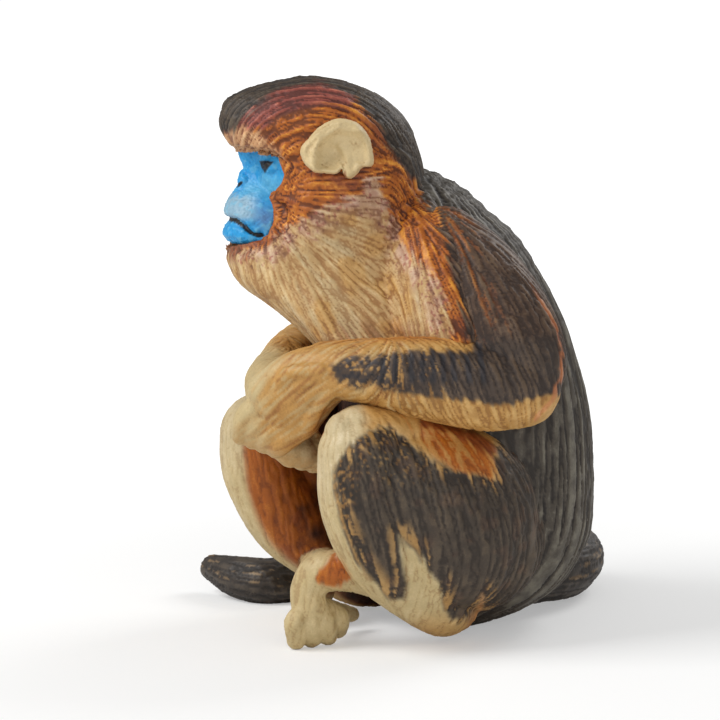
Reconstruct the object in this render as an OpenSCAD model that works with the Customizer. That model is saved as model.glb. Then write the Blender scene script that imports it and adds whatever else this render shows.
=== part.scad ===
// Seated snub-nosed monkey figurine, moulded in separate pieces that plug together.
// The figure faces -Y, its left side is +X, and it sits on the plane z = 0.

/* [Torso] */
// Height of the body moulding, seat to shoulders
torso_h = 68; // [64:1:72]
// Width across the flanks
torso_w = 40; // [37:1:43]
// Depth, belly to back
torso_d = 40; // [37:1:43]

/* [Head] */
// Head length, brow tuft to nape
head_l = 30; // [28:0.5:32]
// Head width over the cheek fur
head_w = 25; // [23:0.5:27]
// Height from the crown down to the jaw
head_h = 27; // [25:0.5:29]
// Length of the cape of fur below the jaw
cape_h = 15; // [13:0.5:17]
// Turn of the head to the figure's right, degrees
head_turn = 25; // [15:1:30]

/* [Face] */
// Width of the bare face over the eyes
face_w = 17; // [15:0.5:19]
// Width of the muzzle
muzzle_w = 13.5; // [12:0.5:15]
// How far the muzzle stands out from the eye plane
muzzle_l = 9; // [8:0.5:10]
// Height of the bare face, brow to lower lip
face_h = 13.5; // [12:0.5:15]

/* [Ears] */
// Ear width, front to back
ear_w = 11; // [9:0.5:13]
// Ear height
ear_h = 8.5; // [7.5:0.5:9.5]
// Ear thickness
ear_t = 3; // [2.5:0.25:3.5]

/* [Arms] */
// Upper arm, front to back
upper_arm_w = 13; // [11:0.5:15]
// Forearm, top to bottom near the elbow
forearm_w = 13; // [11:0.5:14]
// Width across the back of the hand
hand_w = 9; // [8:0.5:10]
// Finger diameter
finger_d = 3.5; // [3:0.1:4]

/* [Legs] */
// Thigh, top to bottom at its fullest
thigh_w = 29; // [26:0.5:31]
// Shin diameter below the knee
shin_w = 13; // [11:0.5:14]
// Foot width across the toes
foot_w = 9; // [8:0.5:10]
// Toe diameter
toe_d = 2.8; // [2.4:0.1:3.2]

/* [Tail] */
// Tail width where it is fullest
tail_w = 9; // [7:0.5:10]
// Tail height where it is fullest
tail_h = 9.5; // [8:0.5:10.5]

/* [Pegs] */
// Diameter of the neck peg
neck_peg_d = 7; // [5:0.5:8]
// Length of the neck peg inside its socket
neck_peg_l = 7; // [5:0.5:8]
// Diameter of the shoulder and hip pegs
limb_peg_d = 5; // [4:0.5:6]
// Length of the shoulder and hip pegs inside their sockets
limb_peg_l = 6; // [4:0.5:7]
// Diameter of the pegs of the face and the tail
small_peg_d = 3; // [2.5:0.25:3.5]
// Length of the pegs of the face and the tail inside their sockets
small_peg_l = 4; // [3:0.5:5]
// Diameter of the ear pegs
ear_peg_d = 2; // [1.5:0.25:2.5]
// Length of the ear pegs inside their sockets
ear_peg_l = 3; // [2:0.5:4]
// Gap round each peg in its socket
peg_gap = 0.1; // [0.05:0.05:0.2]

/* [Hidden] */

fur_brown = "#4a3d33";
fur_orange = "#b06a2c";
fur_ochre = "#c79a5a";
skin_cream = "#e0cba2";
skin_blue = "#2f9fd8";

body_sides = 40;
limb_sides = 20;
face_sides = 22;
ear_sides = 16;
digit_sides = 8;
body_steps = 2;
head_steps = 1;
limb_steps = 2;
digit_steps = 2;

x_axis = [1, 0, 0];
z_axis = [0, 0, 1];
seat_size = [torso_w, torso_d, torso_h];

// How the forms are made: a hand-set table gives the main sections, a smooth curve runs through
// the sections, and one closed skin is laid over them.
function curve(rows, i, t) = let (
    last = len(rows) - 1,
    a = rows[max(i - 1, 0)], b = rows[i], c = rows[i + 1], d = rows[min(i + 2, last)]
) (2 * b + (c - a) * t + (2 * a - 5 * b + 4 * c - d) * t ^ 2 + (3 * b - a - 3 * c + d) * t ^ 3) / 2;

function smooth(rows, steps) = [
    for (i = [0 : len(rows) - 2], s = [0 : steps - 1]) curve(rows, i, s / steps),
    rows[len(rows) - 1]
];

function unit(v) = v / norm(v);
function place(row) = [row[0], row[1], row[2]];
function reversed(list) = [for (i = [len(list) - 1 : -1 : 0]) list[i]];
function mirrored(rows) = [for (r = rows) [-r[0], r[1], r[2], r[3], r[4]]];

module skin(rings) {
    sides = len(rings[0]);
    last = len(rings) - 1;
    points = [for (ring = rings) each ring];
    walls = [for (r = [0 : last - 1], k = [0 : sides - 1]) let (
        n = (k + 1) % sides, low = r * sides, high = low + sides
    ) each [[high + k, high + n, low + n], [high + k, low + n, low + k]]];
    ends = [[for (k = [0 : sides - 1]) k], [for (k = [sides - 1 : -1 : 0]) last * sides + k]];
    polyhedron(points, concat(walls, ends));
}

// Overlapping forms become one closed skin before pegs are added and sockets are drilled
module one_skin() resize([0, 0, 0]) children();

// Level sections: height, front, widest place, back, half width, and how square the section is
function squared(x, power) = sign(x) * abs(x) ^ (2 / power);

function level_ring(row, sides) = [for (k = [0 : sides - 1]) let (
    angle = 360 * k / sides,
    side = squared(cos(angle), row[5]),
    fore = squared(sin(angle), row[5]),
    reach = fore < 0 ? row[2] - row[1] : row[3] - row[2]
) [row[4] * side, row[2] + fore * reach, row[0]]];

module levels(rows, steps, sides) skin([for (row = smooth(rows, steps)) level_ring(row, sides)]);

function sized_levels(rows, long, wide, high) = [for (r = rows)
    [r[0] * high, r[1] * long, r[2] * long, r[3] * long, r[4] * wide, r[5]]];

// Round sections along a centre line: place, half size along the flat direction, half size over it
function heading(rows, i) = let (last = len(rows) - 1)
    unit(place(rows[min(i + 1, last)]) - place(rows[max(i - 1, 0)]));

function tube_ring(row, along, flat, sides) = let (
    across = unit(flat - (flat * along) * along), over = cross(along, across)
) [for (k = [0 : sides - 1]) let (angle = 360 * k / sides)
    place(row) + across * row[3] * cos(angle) + over * row[4] * sin(angle)];

// A round end closes in on a quarter ellipse beyond the last section
end_turns = [72, 42];
function round_end(row, way) = let (reach = min(row[3], row[4])) [for (turn = end_turns) let (
    tip = place(row) + way * reach * sin(turn)
) [tip[0], tip[1], tip[2], row[3] * cos(turn), row[4] * cos(turn)]];

module tube(rows, steps, sides, flat) {
    middle = smooth(rows, steps);
    last = len(middle) - 1;
    full = [
        each round_end(middle[0], -heading(middle, 0)),
        each middle,
        each reversed(round_end(middle[last], heading(middle, last)))
    ];
    skin([for (i = [0 : len(full) - 1]) tube_ring(full[i], heading(full, i), flat, sides)]);
}

function sized(rows, wide, thick) = [for (r = rows) [
    r[0] * seat_size[0], r[1] * seat_size[1], r[2] * seat_size[2], r[3] * wide, r[4] * thick
]];

// Everything stands on the plane z = 0
module above_ground() {
    room = 4 * max(seat_size);
    difference() {
        children();
        translate([-room / 2, -room / 2, -room]) cube(room);
    }
}

// Torso
torso_share = [
    [0.000, -0.12, 0.06, 0.230, 0.130, 2.0],
    [0.020, -0.18, 0.06, 0.330, 0.220, 2.0],
    [0.050, -0.25, 0.06, 0.430, 0.315, 2.1],
    [0.100, -0.31, 0.08, 0.530, 0.410, 2.1],
    [0.190, -0.33, 0.09, 0.605, 0.490, 2.1],
    [0.290, -0.33, 0.10, 0.620, 0.500, 2.1],
    [0.400, -0.32, 0.12, 0.615, 0.485, 2.1],
    [0.490, -0.30, 0.12, 0.590, 0.475, 2.1],
    [0.590, -0.30, 0.10, 0.535, 0.465, 2.1],
    [0.680, -0.30, 0.07, 0.475, 0.450, 2.1],
    [0.770, -0.29, 0.02, 0.393, 0.415, 2.1],
    [0.850, -0.28, -0.04, 0.312, 0.360, 2.1],
    [0.910, -0.27, -0.08, 0.202, 0.285, 2.0],
    [0.960, -0.25, -0.11, 0.108, 0.200, 2.0],
    [1.000, -0.20, -0.12, -0.02, 0.090, 2.0],
];
module torso_form() levels(sized_levels(torso_share, torso_d, torso_w, torso_h), body_steps, body_sides);

// Head, in a frame of its own that is turned to the figure's right
head_place_share = [-0.10, -0.44, 1.02];
module at_head()
    translate([for (i = [0 : 2]) head_place_share[i] * seat_size[i]]) rotate(-head_turn) children();

skull_share = [
    [-0.44, -0.280, 0.05, 0.640, 0.480, 2.2],
    [-0.30, -0.200, 0.05, 0.590, 0.485, 2.2],
    [-0.15, -0.200, 0.06, 0.560, 0.475, 2.2],
    [-0.04, -0.270, 0.08, 0.545, 0.450, 2.2],
    [0.045, -0.355, 0.10, 0.525, 0.435, 2.3],
    [0.115, -0.405, 0.10, 0.505, 0.425, 2.3],
    [0.180, -0.435, 0.09, 0.480, 0.415, 2.3],
    [0.245, -0.437, 0.08, 0.440, 0.400, 2.3],
    [0.320, -0.410, 0.05, 0.370, 0.360, 2.2],
    [0.370, -0.345, 0.03, 0.300, 0.310, 2.1],
    [0.415, -0.235, 0.01, 0.205, 0.230, 2.0],
    [0.443, -0.120, 0.00, 0.090, 0.130, 2.0],
    [0.455, -0.070, 0.00, 0.030, 0.050, 2.0],
];
jaw_share = -0.44;
cape_share = [
    [-1.45, 0.220, 0.340, 0.700, 0.500, 2.2],
    [-1.20, 0.110, 0.220, 0.820, 0.640, 2.2],
    [-0.93, -0.005, 0.140, 0.840, 0.660, 2.2],
    [-0.71, -0.125, 0.100, 0.800, 0.620, 2.2],
    [-0.53, -0.245, 0.080, 0.760, 0.580, 2.2],
    [-0.44, -0.315, 0.070, 0.730, 0.550, 2.2],
    [-0.33, -0.370, 0.060, 0.710, 0.520, 2.2],
    [-0.17, -0.397, 0.050, 0.690, 0.490, 2.2],
];
function lifted(rows, lift) = [for (r = rows) [r[0] + lift, r[1], r[2], r[3], r[4], r[5]]];
// The mane also drapes over the front of both shoulders
drape_share = [
    [0.560, -0.32, -0.14, -0.04, 0.360, 2.2],
    [0.610, -0.36, -0.14, -0.04, 0.500, 2.2],
    [0.660, -0.38, -0.14, -0.04, 0.578, 2.2],
    [0.710, -0.37, -0.14, -0.04, 0.565, 2.2],
    [0.790, -0.35, -0.14, -0.04, 0.515, 2.2],
    [0.870, -0.31, -0.14, -0.05, 0.425, 2.2],
    [0.935, -0.26, -0.14, -0.06, 0.265, 2.2],
    [0.980, -0.22, -0.14, -0.08, 0.150, 2.2],
];
module head_form() {
    at_head() levels([
        each lifted(sized_levels(cape_share, head_l, head_w, cape_h), jaw_share * head_h),
        each sized_levels(skull_share, head_l, head_w, head_h)
    ], head_steps, body_sides);
    levels(sized_levels(drape_share, torso_d, torso_w, torso_h), body_steps, body_sides);
}

// Face: the plane of the eyes and the muzzle that stands out from it
eye_depth_share = -0.29;
eye_plane_share = [
    [-0.66, 0.20, 0.86, 1.30, 0.40, 1.5],
    [-0.52, 0.10, 0.86, 1.30, 0.48, 1.4],
    [-0.37, 0.04, 0.86, 1.30, 0.54, 1.35],
    [-0.22, 0.00, 0.86, 1.30, 0.575, 1.35],
    [-0.07, -0.02, 0.86, 1.30, 0.58, 1.35],
    [0.08, -0.05, 0.86, 1.30, 0.56, 1.40],
    [0.20, 0.00, 0.86, 1.30, 0.50, 1.5],
];
muzzle_share = [
    [-0.99, 0.05, 0.45, 0.90, 0.22, 2.0],
    [-0.96, -0.18, 0.38, 0.90, 0.34, 2.2],
    [-0.90, -0.36, 0.32, 0.95, 0.43, 2.3],
    [-0.83, -0.43, 0.29, 0.95, 0.475, 2.3],
    [-0.77, -0.455, 0.28, 0.95, 0.49, 2.4],
    [-0.71, -0.41, 0.28, 0.95, 0.49, 2.4],
    [-0.66, -0.36, 0.28, 0.95, 0.49, 2.4],
    [-0.60, -0.40, 0.28, 0.95, 0.50, 2.4],
    [-0.50, -0.42, 0.28, 0.95, 0.50, 2.3],
    [-0.42, -0.38, 0.28, 0.95, 0.47, 2.2],
    [-0.33, -0.29, 0.28, 0.95, 0.40, 2.0],
    [-0.26, -0.22, 0.25, 0.95, 0.31, 1.9],
    [-0.20, -0.17, 0.25, 0.95, 0.23, 1.9],
    [-0.13, -0.13, 0.25, 0.95, 0.18, 2.0],
    [-0.06, -0.12, 0.25, 0.95, 0.16, 2.0],
    [0.03, -0.18, 0.25, 0.95, 0.17, 2.0],
    [0.10, -0.20, 0.25, 0.95, 0.18, 2.0],
];
module face_form() at_head() translate([0, eye_depth_share * head_l, 0]) {
    levels(sized_levels(eye_plane_share, muzzle_l, face_w, face_h), head_steps, face_sides);
    levels(sized_levels(muzzle_share, muzzle_l, muzzle_w, face_h), head_steps, face_sides);
}
face_peg_share = [0.62, -0.45];
module at_face_peg() at_head()
    translate([0, eye_depth_share * head_l + face_peg_share[0] * muzzle_l, face_peg_share[1] * face_h])
        rotate([-90, 0, 0]) children();

// Ears: a shallow dish that leans on the side of the head
ear_place_share = [0.43, 0.13, 0.085];
ear_share = [
    [-0.50, -0.30, 0.00, 0.30, 0.30, 2.2],
    [0.10, -0.40, 0.00, 0.40, 0.40, 2.2],
    [0.50, -0.49, 0.00, 0.48, 0.49, 2.3],
    [0.75, -0.50, 0.00, 0.50, 0.50, 2.3],
    [0.93, -0.46, 0.00, 0.46, 0.46, 2.3],
    [1.00, -0.38, 0.00, 0.38, 0.38, 2.3],
];
ear_bowl_share = [0.50, 0.42, 0.90];
ear_bowl_facets = 14;
module at_left_ear() at_head()
    translate([ear_place_share[0] * head_w, ear_place_share[1] * head_l, ear_place_share[2] * head_h])
        rotate([0, 90, 0]) children();
module at_right_ear() at_head()
    translate([-ear_place_share[0] * head_w, ear_place_share[1] * head_l, ear_place_share[2] * head_h])
        rotate([0, -90, 0]) children();
module ear_form() difference() {
    levels(sized_levels(ear_share, ear_w, ear_h, ear_t), head_steps, ear_sides);
    translate([0, 0, ear_t])
        scale([ear_h * ear_bowl_share[0], ear_w * ear_bowl_share[1], ear_t * ear_bowl_share[2]])
            sphere(d = 1, $fn = ear_bowl_facets);
}

// Arms
left_upper_arm_share = [
    [0.28, -0.10, 0.87, 0.32, 0.40],
    [0.39, -0.05, 0.80, 0.40, 0.54],
    [0.49, 0.02, 0.70, 0.44, 0.60],
    [0.535, 0.075, 0.61, 0.42, 0.57],
    [0.540, 0.055, 0.585, 0.34, 0.44],
];
left_forearm_share = [
    [0.545, 0.10, 0.565, 0.38, 0.46],
    [0.56, -0.06, 0.570, 0.38, 0.49],
    [0.51, -0.27, 0.590, 0.36, 0.46],
    [0.42, -0.44, 0.604, 0.33, 0.37],
    [0.30, -0.575, 0.605, 0.31, 0.31],
];
left_palm_share = [
    [0.32, -0.56, 0.605, 0.46, 0.40],
    [0.25, -0.63, 0.572, 0.60, 0.36],
    [0.175, -0.695, 0.520, 0.68, 0.34],
];
left_hand_spread_share = [0.105, 0.208, -0.109];
// Each finger: root, knuckle and tip, for the first and the last of the four
left_finger_first_share = [
    [0.175, -0.715, 0.548, 0.50, 0.50],
    [0.085, -0.782, 0.500, 0.52, 0.52],
    [0.020, -0.778, 0.452, 0.44, 0.44],
];
left_finger_last_share = [
    [0.245, -0.620, 0.490, 0.50, 0.50],
    [0.167, -0.684, 0.447, 0.52, 0.52],
    [0.093, -0.674, 0.425, 0.44, 0.44],
];
finger_count = 4;
digit_flat = [1, 1, 0];
right_palm_flat = [0, 1, 0];
module digits(first, last, count, d) for (i = [0 : count - 1]) let (t = i / (count - 1))
    tube(sized([for (k = [0 : len(first) - 1]) first[k] * (1 - t) + last[k] * t], d, d),
         digit_steps, digit_sides, digit_flat);

module left_arm_form() {
    spread = [for (i = [0 : 2]) left_hand_spread_share[i] * seat_size[i]];
    tube(sized(left_upper_arm_share, upper_arm_w, upper_arm_w), limb_steps, limb_sides, x_axis);
    tube(sized(left_forearm_share, forearm_w, forearm_w), limb_steps, limb_sides, x_axis);
    tube(sized(left_palm_share, hand_w, hand_w), limb_steps, limb_sides, spread);
    digits(left_finger_first_share, left_finger_last_share, finger_count, finger_d);
}

right_forearm_share = [
    [-0.545, 0.10, 0.565, 0.38, 0.46],
    [-0.56, -0.06, 0.570, 0.38, 0.49],
    [-0.49, -0.24, 0.575, 0.34, 0.41],
    [-0.37, -0.39, 0.570, 0.31, 0.32],
    [-0.22, -0.51, 0.560, 0.29, 0.28],
];
right_palm_share = [
    [-0.22, -0.52, 0.560, 0.42, 0.36],
    [-0.10, -0.582, 0.541, 0.52, 0.38],
    [0.00, -0.61, 0.495, 0.54, 0.36],
];
right_finger_first_share = [
    [0.02, -0.70, 0.500, 0.50, 0.50],
    [0.09, -0.69, 0.450, 0.54, 0.54],
    [0.085, -0.615, 0.405, 0.50, 0.50],
];
right_finger_last_share = [
    [0.03, -0.52, 0.440, 0.50, 0.50],
    [0.11, -0.52, 0.405, 0.54, 0.54],
    [0.09, -0.47, 0.380, 0.50, 0.50],
];
module right_arm_form() {
    tube(sized(mirrored(left_upper_arm_share), upper_arm_w, upper_arm_w), limb_steps, limb_sides, x_axis);
    tube(sized(right_forearm_share, forearm_w, forearm_w), limb_steps, limb_sides, x_axis);
    tube(sized(right_palm_share, hand_w, hand_w), limb_steps, limb_sides, right_palm_flat);
    digits(right_finger_first_share, right_finger_last_share, finger_count, finger_d);
}

// Legs
left_thigh_share = [
    [0.36, 0.06, 0.20, 0.26, 0.34],
    [0.40, -0.06, 0.25, 0.30, 0.45],
    [0.42, -0.22, 0.315, 0.28, 0.44],
    [0.42, -0.39, 0.385, 0.23, 0.33],
    [0.415, -0.465, 0.42, 0.19, 0.215],
];
left_shin_share = [
    [0.415, -0.495, 0.430, 0.48, 0.48],
    [0.405, -0.475, 0.330, 0.52, 0.50],
    [0.385, -0.380, 0.225, 0.52, 0.52],
    [0.365, -0.260, 0.145, 0.48, 0.44],
    [0.345, -0.135, 0.083, 0.39, 0.35],
    [0.325, -0.075, 0.070, 0.29, 0.27],
];
left_foot_share = [
    [0.340, -0.125, 0.088, 0.38, 0.38],
    [0.330, -0.300, 0.140, 0.36, 0.38],
    [0.270, -0.450, 0.165, 0.34, 0.34],
    [0.210, -0.550, 0.162, 0.32, 0.33],
    [0.180, -0.590, 0.125, 0.30, 0.28],
    [0.190, -0.590, 0.085, 0.32, 0.28],
];
// The three outer toes stand on the ground, the inner toe is bent and the big toe points inwards
left_toe_first_share = [
    [0.192, -0.609, 0.083, 0.48, 0.48],
    [0.208, -0.653, 0.060, 0.60, 0.60],
    [0.195, -0.645, 0.020, 0.50, 0.50],
];
left_toe_last_share = [
    [0.215, -0.550, 0.080, 0.48, 0.48],
    [0.220, -0.545, 0.056, 0.60, 0.60],
    [0.195, -0.520, 0.022, 0.50, 0.50],
];
left_inner_toe_share = [
    [0.195, -0.545, 0.085, 0.55, 0.55],
    [0.190, -0.485, 0.060, 0.66, 0.66],
    [0.160, -0.460, 0.030, 0.50, 0.50],
];
left_big_toe_share = [
    [0.140, -0.545, 0.085, 0.50, 0.50],
    [0.060, -0.440, 0.060, 0.48, 0.48],
    [0.030, -0.340, 0.040, 0.44, 0.44],
];
left_toe_count = 3;
module left_leg_form() above_ground() {
    tube(sized(left_thigh_share, thigh_w, thigh_w), limb_steps, limb_sides, x_axis);
    tube(sized(left_shin_share, shin_w, shin_w), limb_steps, limb_sides, x_axis);
    tube(sized(left_foot_share, foot_w, foot_w), limb_steps, limb_sides, x_axis);
    digits(left_toe_first_share, left_toe_last_share, left_toe_count, toe_d);
    tube(sized(left_inner_toe_share, toe_d, toe_d), digit_steps, digit_sides, x_axis);
    tube(sized(left_big_toe_share, toe_d, toe_d), digit_steps, digit_sides, x_axis);
}

right_thigh_share = [
    [-0.36, 0.06, 0.20, 0.26, 0.34],
    [-0.40, -0.06, 0.25, 0.30, 0.45],
    [-0.42, -0.22, 0.305, 0.28, 0.43],
    [-0.42, -0.39, 0.375, 0.23, 0.31],
    [-0.415, -0.455, 0.400, 0.19, 0.215],
];
right_shin_share = [
    [-0.415, -0.490, 0.405, 0.48, 0.48],
    [-0.405, -0.475, 0.320, 0.52, 0.50],
    [-0.385, -0.375, 0.220, 0.52, 0.52],
    [-0.365, -0.255, 0.145, 0.48, 0.44],
    [-0.345, -0.130, 0.080, 0.42, 0.38],
    [-0.325, -0.065, 0.064, 0.34, 0.32],
];

right_foot_share = [
    [-0.350, -0.120, 0.085, 0.40, 0.42],
    [-0.300, -0.230, 0.110, 0.36, 0.38],
    [-0.240, -0.310, 0.120, 0.34, 0.36],
    [-0.190, -0.370, 0.105, 0.38, 0.32],
    [-0.165, -0.395, 0.075, 0.42, 0.30],
];
right_toe_first_share = [
    [-0.120, -0.410, 0.070, 0.48, 0.48],
    [-0.090, -0.440, 0.045, 0.56, 0.56],
    [-0.085, -0.445, 0.020, 0.46, 0.46],
];
right_toe_last_share = [
    [-0.215, -0.390, 0.070, 0.48, 0.48],
    [-0.200, -0.420, 0.045, 0.56, 0.56],
    [-0.195, -0.425, 0.020, 0.46, 0.46],
];
right_toe_count = 4;
module right_leg_form() above_ground() {
    tube(sized(right_thigh_share, thigh_w, thigh_w), limb_steps, limb_sides, x_axis);
    tube(sized(right_shin_share, shin_w, shin_w), limb_steps, limb_sides, x_axis);
    tube(sized(right_foot_share, foot_w, foot_w), limb_steps, limb_sides, x_axis);
    digits(right_toe_first_share, right_toe_last_share, right_toe_count, toe_d);
}

// Tail: place, half height and half width
tail_share = [
    [0.020, 0.40, 0.085, 0.45, 0.45],
    [-0.12, 0.66, 0.080, 0.50, 0.50],
    [-0.37, 0.82, 0.074, 0.50, 0.50],
    [-0.60, 0.71, 0.064, 0.46, 0.50],
    [-0.74, 0.45, 0.056, 0.42, 0.50],
    [-0.79, 0.15, 0.050, 0.39, 0.48],
    [-0.705, -0.15, 0.045, 0.38, 0.48],
    [-0.62, -0.345, 0.044, 0.38, 0.46],
    [-0.72, -0.44, 0.048, 0.34, 0.38],
    [-0.875, -0.485, 0.056, 0.22, 0.22],
];
module tail_form() above_ground()
    tube(sized(tail_share, tail_h, tail_w), limb_steps, limb_sides, z_axis);

// Pegs and sockets: where each joint lies, the way its peg points, how far it roots in its own piece
peg_facets = 32;
function at_share(share) = [for (i = [0 : 2]) share[i] * seat_size[i]];
neck_share = [-0.03, -0.30, 0.84];
neck_aim = [0, 0.8, -0.6];
neck_root_share = 0.7;
left_shoulder_share = [0.40, 0.02, 0.74];
left_shoulder_aim = [-1, 0, -0.1];
left_hip_share = [0.42, -0.15, 0.265];
left_hip_aim = [-1, 0.3, 0];
limb_root_share = 0.6;
tail_root_share = 0.8;
tail_joint_share = [-0.01, 0.48, 0.086];
tail_aim = [0.2, -1, 0];
face_root_share = 0.5;
ear_root_share = 0.7;
function flipped(v) = [-v[0], v[1], v[2]];

module pointing(place, aim) {
    way = unit(aim);
    translate(place) rotate([0, acos(way[2]), atan2(way[1], way[0])]) children();
}
module peg(d, into, root) translate([0, 0, -root]) cylinder(d = d, h = root + into, $fn = peg_facets);
module socket(d, into) translate([0, 0, -into])
    cylinder(d = d + 2 * peg_gap, h = 2 * into + peg_gap, $fn = peg_facets);
module inwards() mirror(z_axis) children();

module at_neck() pointing(at_share(neck_share), neck_aim) children();
module at_left_shoulder() pointing(at_share(left_shoulder_share), left_shoulder_aim) children();
module at_right_shoulder()
    pointing(at_share(flipped(left_shoulder_share)), flipped(left_shoulder_aim)) children();
module at_left_hip() pointing(at_share(left_hip_share), left_hip_aim) children();
module at_right_hip()
    pointing(at_share(flipped(left_hip_share)), flipped(left_hip_aim)) children();
module at_tail_joint() pointing(at_share(tail_joint_share), tail_aim) children();

// Nodes
module torso() color(fur_brown) difference() {
    one_skin() torso_form();
    at_neck() socket(neck_peg_d, neck_peg_l);
    at_left_shoulder() socket(limb_peg_d, limb_peg_l);
    at_right_shoulder() socket(limb_peg_d, limb_peg_l);
    at_left_hip() socket(limb_peg_d, limb_peg_l);
    at_right_hip() socket(limb_peg_d, limb_peg_l);
    at_tail_joint() socket(small_peg_d, small_peg_l);
}
module head() color(fur_orange) difference() {
    union() {
        one_skin() difference() {
            head_form();
            torso_form();
            face_form();
        }
        at_neck() peg(neck_peg_d, neck_peg_l, neck_peg_l * neck_root_share);
    }
    at_face_peg() socket(small_peg_d, small_peg_l);
    at_left_ear() inwards() socket(ear_peg_d, ear_peg_l);
    at_right_ear() inwards() socket(ear_peg_d, ear_peg_l);
}
module face() color(skin_blue) {
    one_skin() face_form();
    at_face_peg() peg(small_peg_d, small_peg_l, small_peg_l * face_root_share);
}
module left_ear() color(skin_cream) {
    one_skin() difference() {
        at_left_ear() ear_form();
        head_form();
    }
    at_left_ear() inwards() peg(ear_peg_d, ear_peg_l, ear_t * ear_root_share);
}
module right_ear() color(skin_cream) {
    one_skin() difference() {
        at_right_ear() ear_form();
        head_form();
    }
    at_right_ear() inwards() peg(ear_peg_d, ear_peg_l, ear_t * ear_root_share);
}
module left_arm() color(fur_ochre) {
    one_skin() difference() {
        left_arm_form();
        torso_form();
        head_form();
        left_leg_form();
    }
    at_left_shoulder() peg(limb_peg_d, limb_peg_l, limb_peg_l * limb_root_share);
}
module right_arm() color(fur_ochre) {
    one_skin() difference() {
        right_arm_form();
        torso_form();
        head_form();
        right_leg_form();
        left_arm_form();
    }
    at_right_shoulder() peg(limb_peg_d, limb_peg_l, limb_peg_l * limb_root_share);
}
module left_leg() color(fur_brown) {
    one_skin() difference() {
        left_leg_form();
        torso_form();
    }
    at_left_hip() peg(limb_peg_d, limb_peg_l, limb_peg_l * limb_root_share);
}
module right_leg() color(fur_brown) {
    one_skin() difference() {
        right_leg_form();
        torso_form();
    }
    at_right_hip() peg(limb_peg_d, limb_peg_l, limb_peg_l * limb_root_share);
}
module tail() color(fur_brown) {
    one_skin() difference() {
        tail_form();
        torso_form();
        right_leg_form();
    }
    at_tail_joint() peg(small_peg_d, small_peg_l, small_peg_l * tail_root_share);
}

torso();
head();
face();
left_ear();
right_ear();
left_arm();
right_arm();
left_leg();
right_leg();
tail();
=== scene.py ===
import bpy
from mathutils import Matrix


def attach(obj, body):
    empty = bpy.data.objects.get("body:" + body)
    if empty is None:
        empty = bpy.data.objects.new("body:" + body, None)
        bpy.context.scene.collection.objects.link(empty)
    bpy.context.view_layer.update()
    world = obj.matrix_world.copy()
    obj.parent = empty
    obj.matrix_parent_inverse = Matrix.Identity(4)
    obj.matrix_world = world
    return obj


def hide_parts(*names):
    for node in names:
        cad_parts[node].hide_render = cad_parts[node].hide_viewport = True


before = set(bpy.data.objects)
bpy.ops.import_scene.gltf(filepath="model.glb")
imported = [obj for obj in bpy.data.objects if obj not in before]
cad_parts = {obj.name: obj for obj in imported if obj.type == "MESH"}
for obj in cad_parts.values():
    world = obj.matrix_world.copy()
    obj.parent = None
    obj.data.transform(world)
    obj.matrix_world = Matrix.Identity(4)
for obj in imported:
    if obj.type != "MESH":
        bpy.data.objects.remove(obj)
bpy.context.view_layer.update()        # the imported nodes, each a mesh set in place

# Seated snub-nosed monkey figurine: hand-painted plastic, sculpted fur, modelled round the imported solids.
# The figure faces -Y, its left side is +X and it sits on z = 0. Shapes are worked out in millimetres.

import copy
import functools
import math

import bpy
import numpy as np
from bpy.props import FloatProperty, FloatVectorProperty, PointerProperty
from mathutils import Vector

bl_info = {
    "name": "Seated Monkey Figurine",
    "version": (1, 0, 0),
    "blender": (4, 5, 0),
    "location": "View3D > Sidebar > Monkey",
    "description": "Models and paints a seated snub-nosed monkey figurine piece by piece",
    "category": "Add Mesh",
}

MM = 0.001

# Sizes and colours that a user may change

SIZES = {
    "torso_h": (68.0, "Height of the body moulding, seat to shoulders"),
    "torso_w": (40.0, "Width across the flanks"),
    "torso_d": (40.0, "Depth, belly to back"),
    "head_l": (30.0, "Head length, brow tuft to nape"),
    "head_w": (25.0, "Head width over the cheek fur"),
    "head_h": (27.0, "Height from the crown down to the jaw"),
    "cape_h": (15.0, "Length of the cape of fur below the jaw"),
    "face_w": (17.0, "Width of the bare face over the eyes"),
    "muzzle_w": (13.5, "Width of the muzzle"),
    "muzzle_l": (9.0, "How far the muzzle stands out from the eye plane"),
    "face_h": (13.5, "Height of the bare face, brow to lower lip"),
    "ear_t": (3.0, "How far the ear stands out from the head"),
    "upper_arm_w": (13.0, "Upper arm, front to back"),
    "forearm_w": (13.0, "Forearm, top to bottom near the elbow"),
    "hand_w": (9.0, "Width across the back of the hand"),
    "finger_d": (3.5, "Finger diameter"),
    "thigh_w": (29.0, "Thigh, top to bottom at its fullest"),
    "shin_w": (13.0, "Shin diameter below the knee"),
    "foot_w": (9.0, "Foot width across the toes"),
    "toe_d": (2.8, "Toe diameter"),
    "tail_w": (9.0, "Tail width where it is fullest"),
    "tail_h": (9.5, "Tail height where it is fullest"),
    "strand_pitch": (0.95, "Spacing of the carved strands on the body"),
    "strand_depth": (0.30, "Depth of the grooves between the strands on the body"),
}

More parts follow.
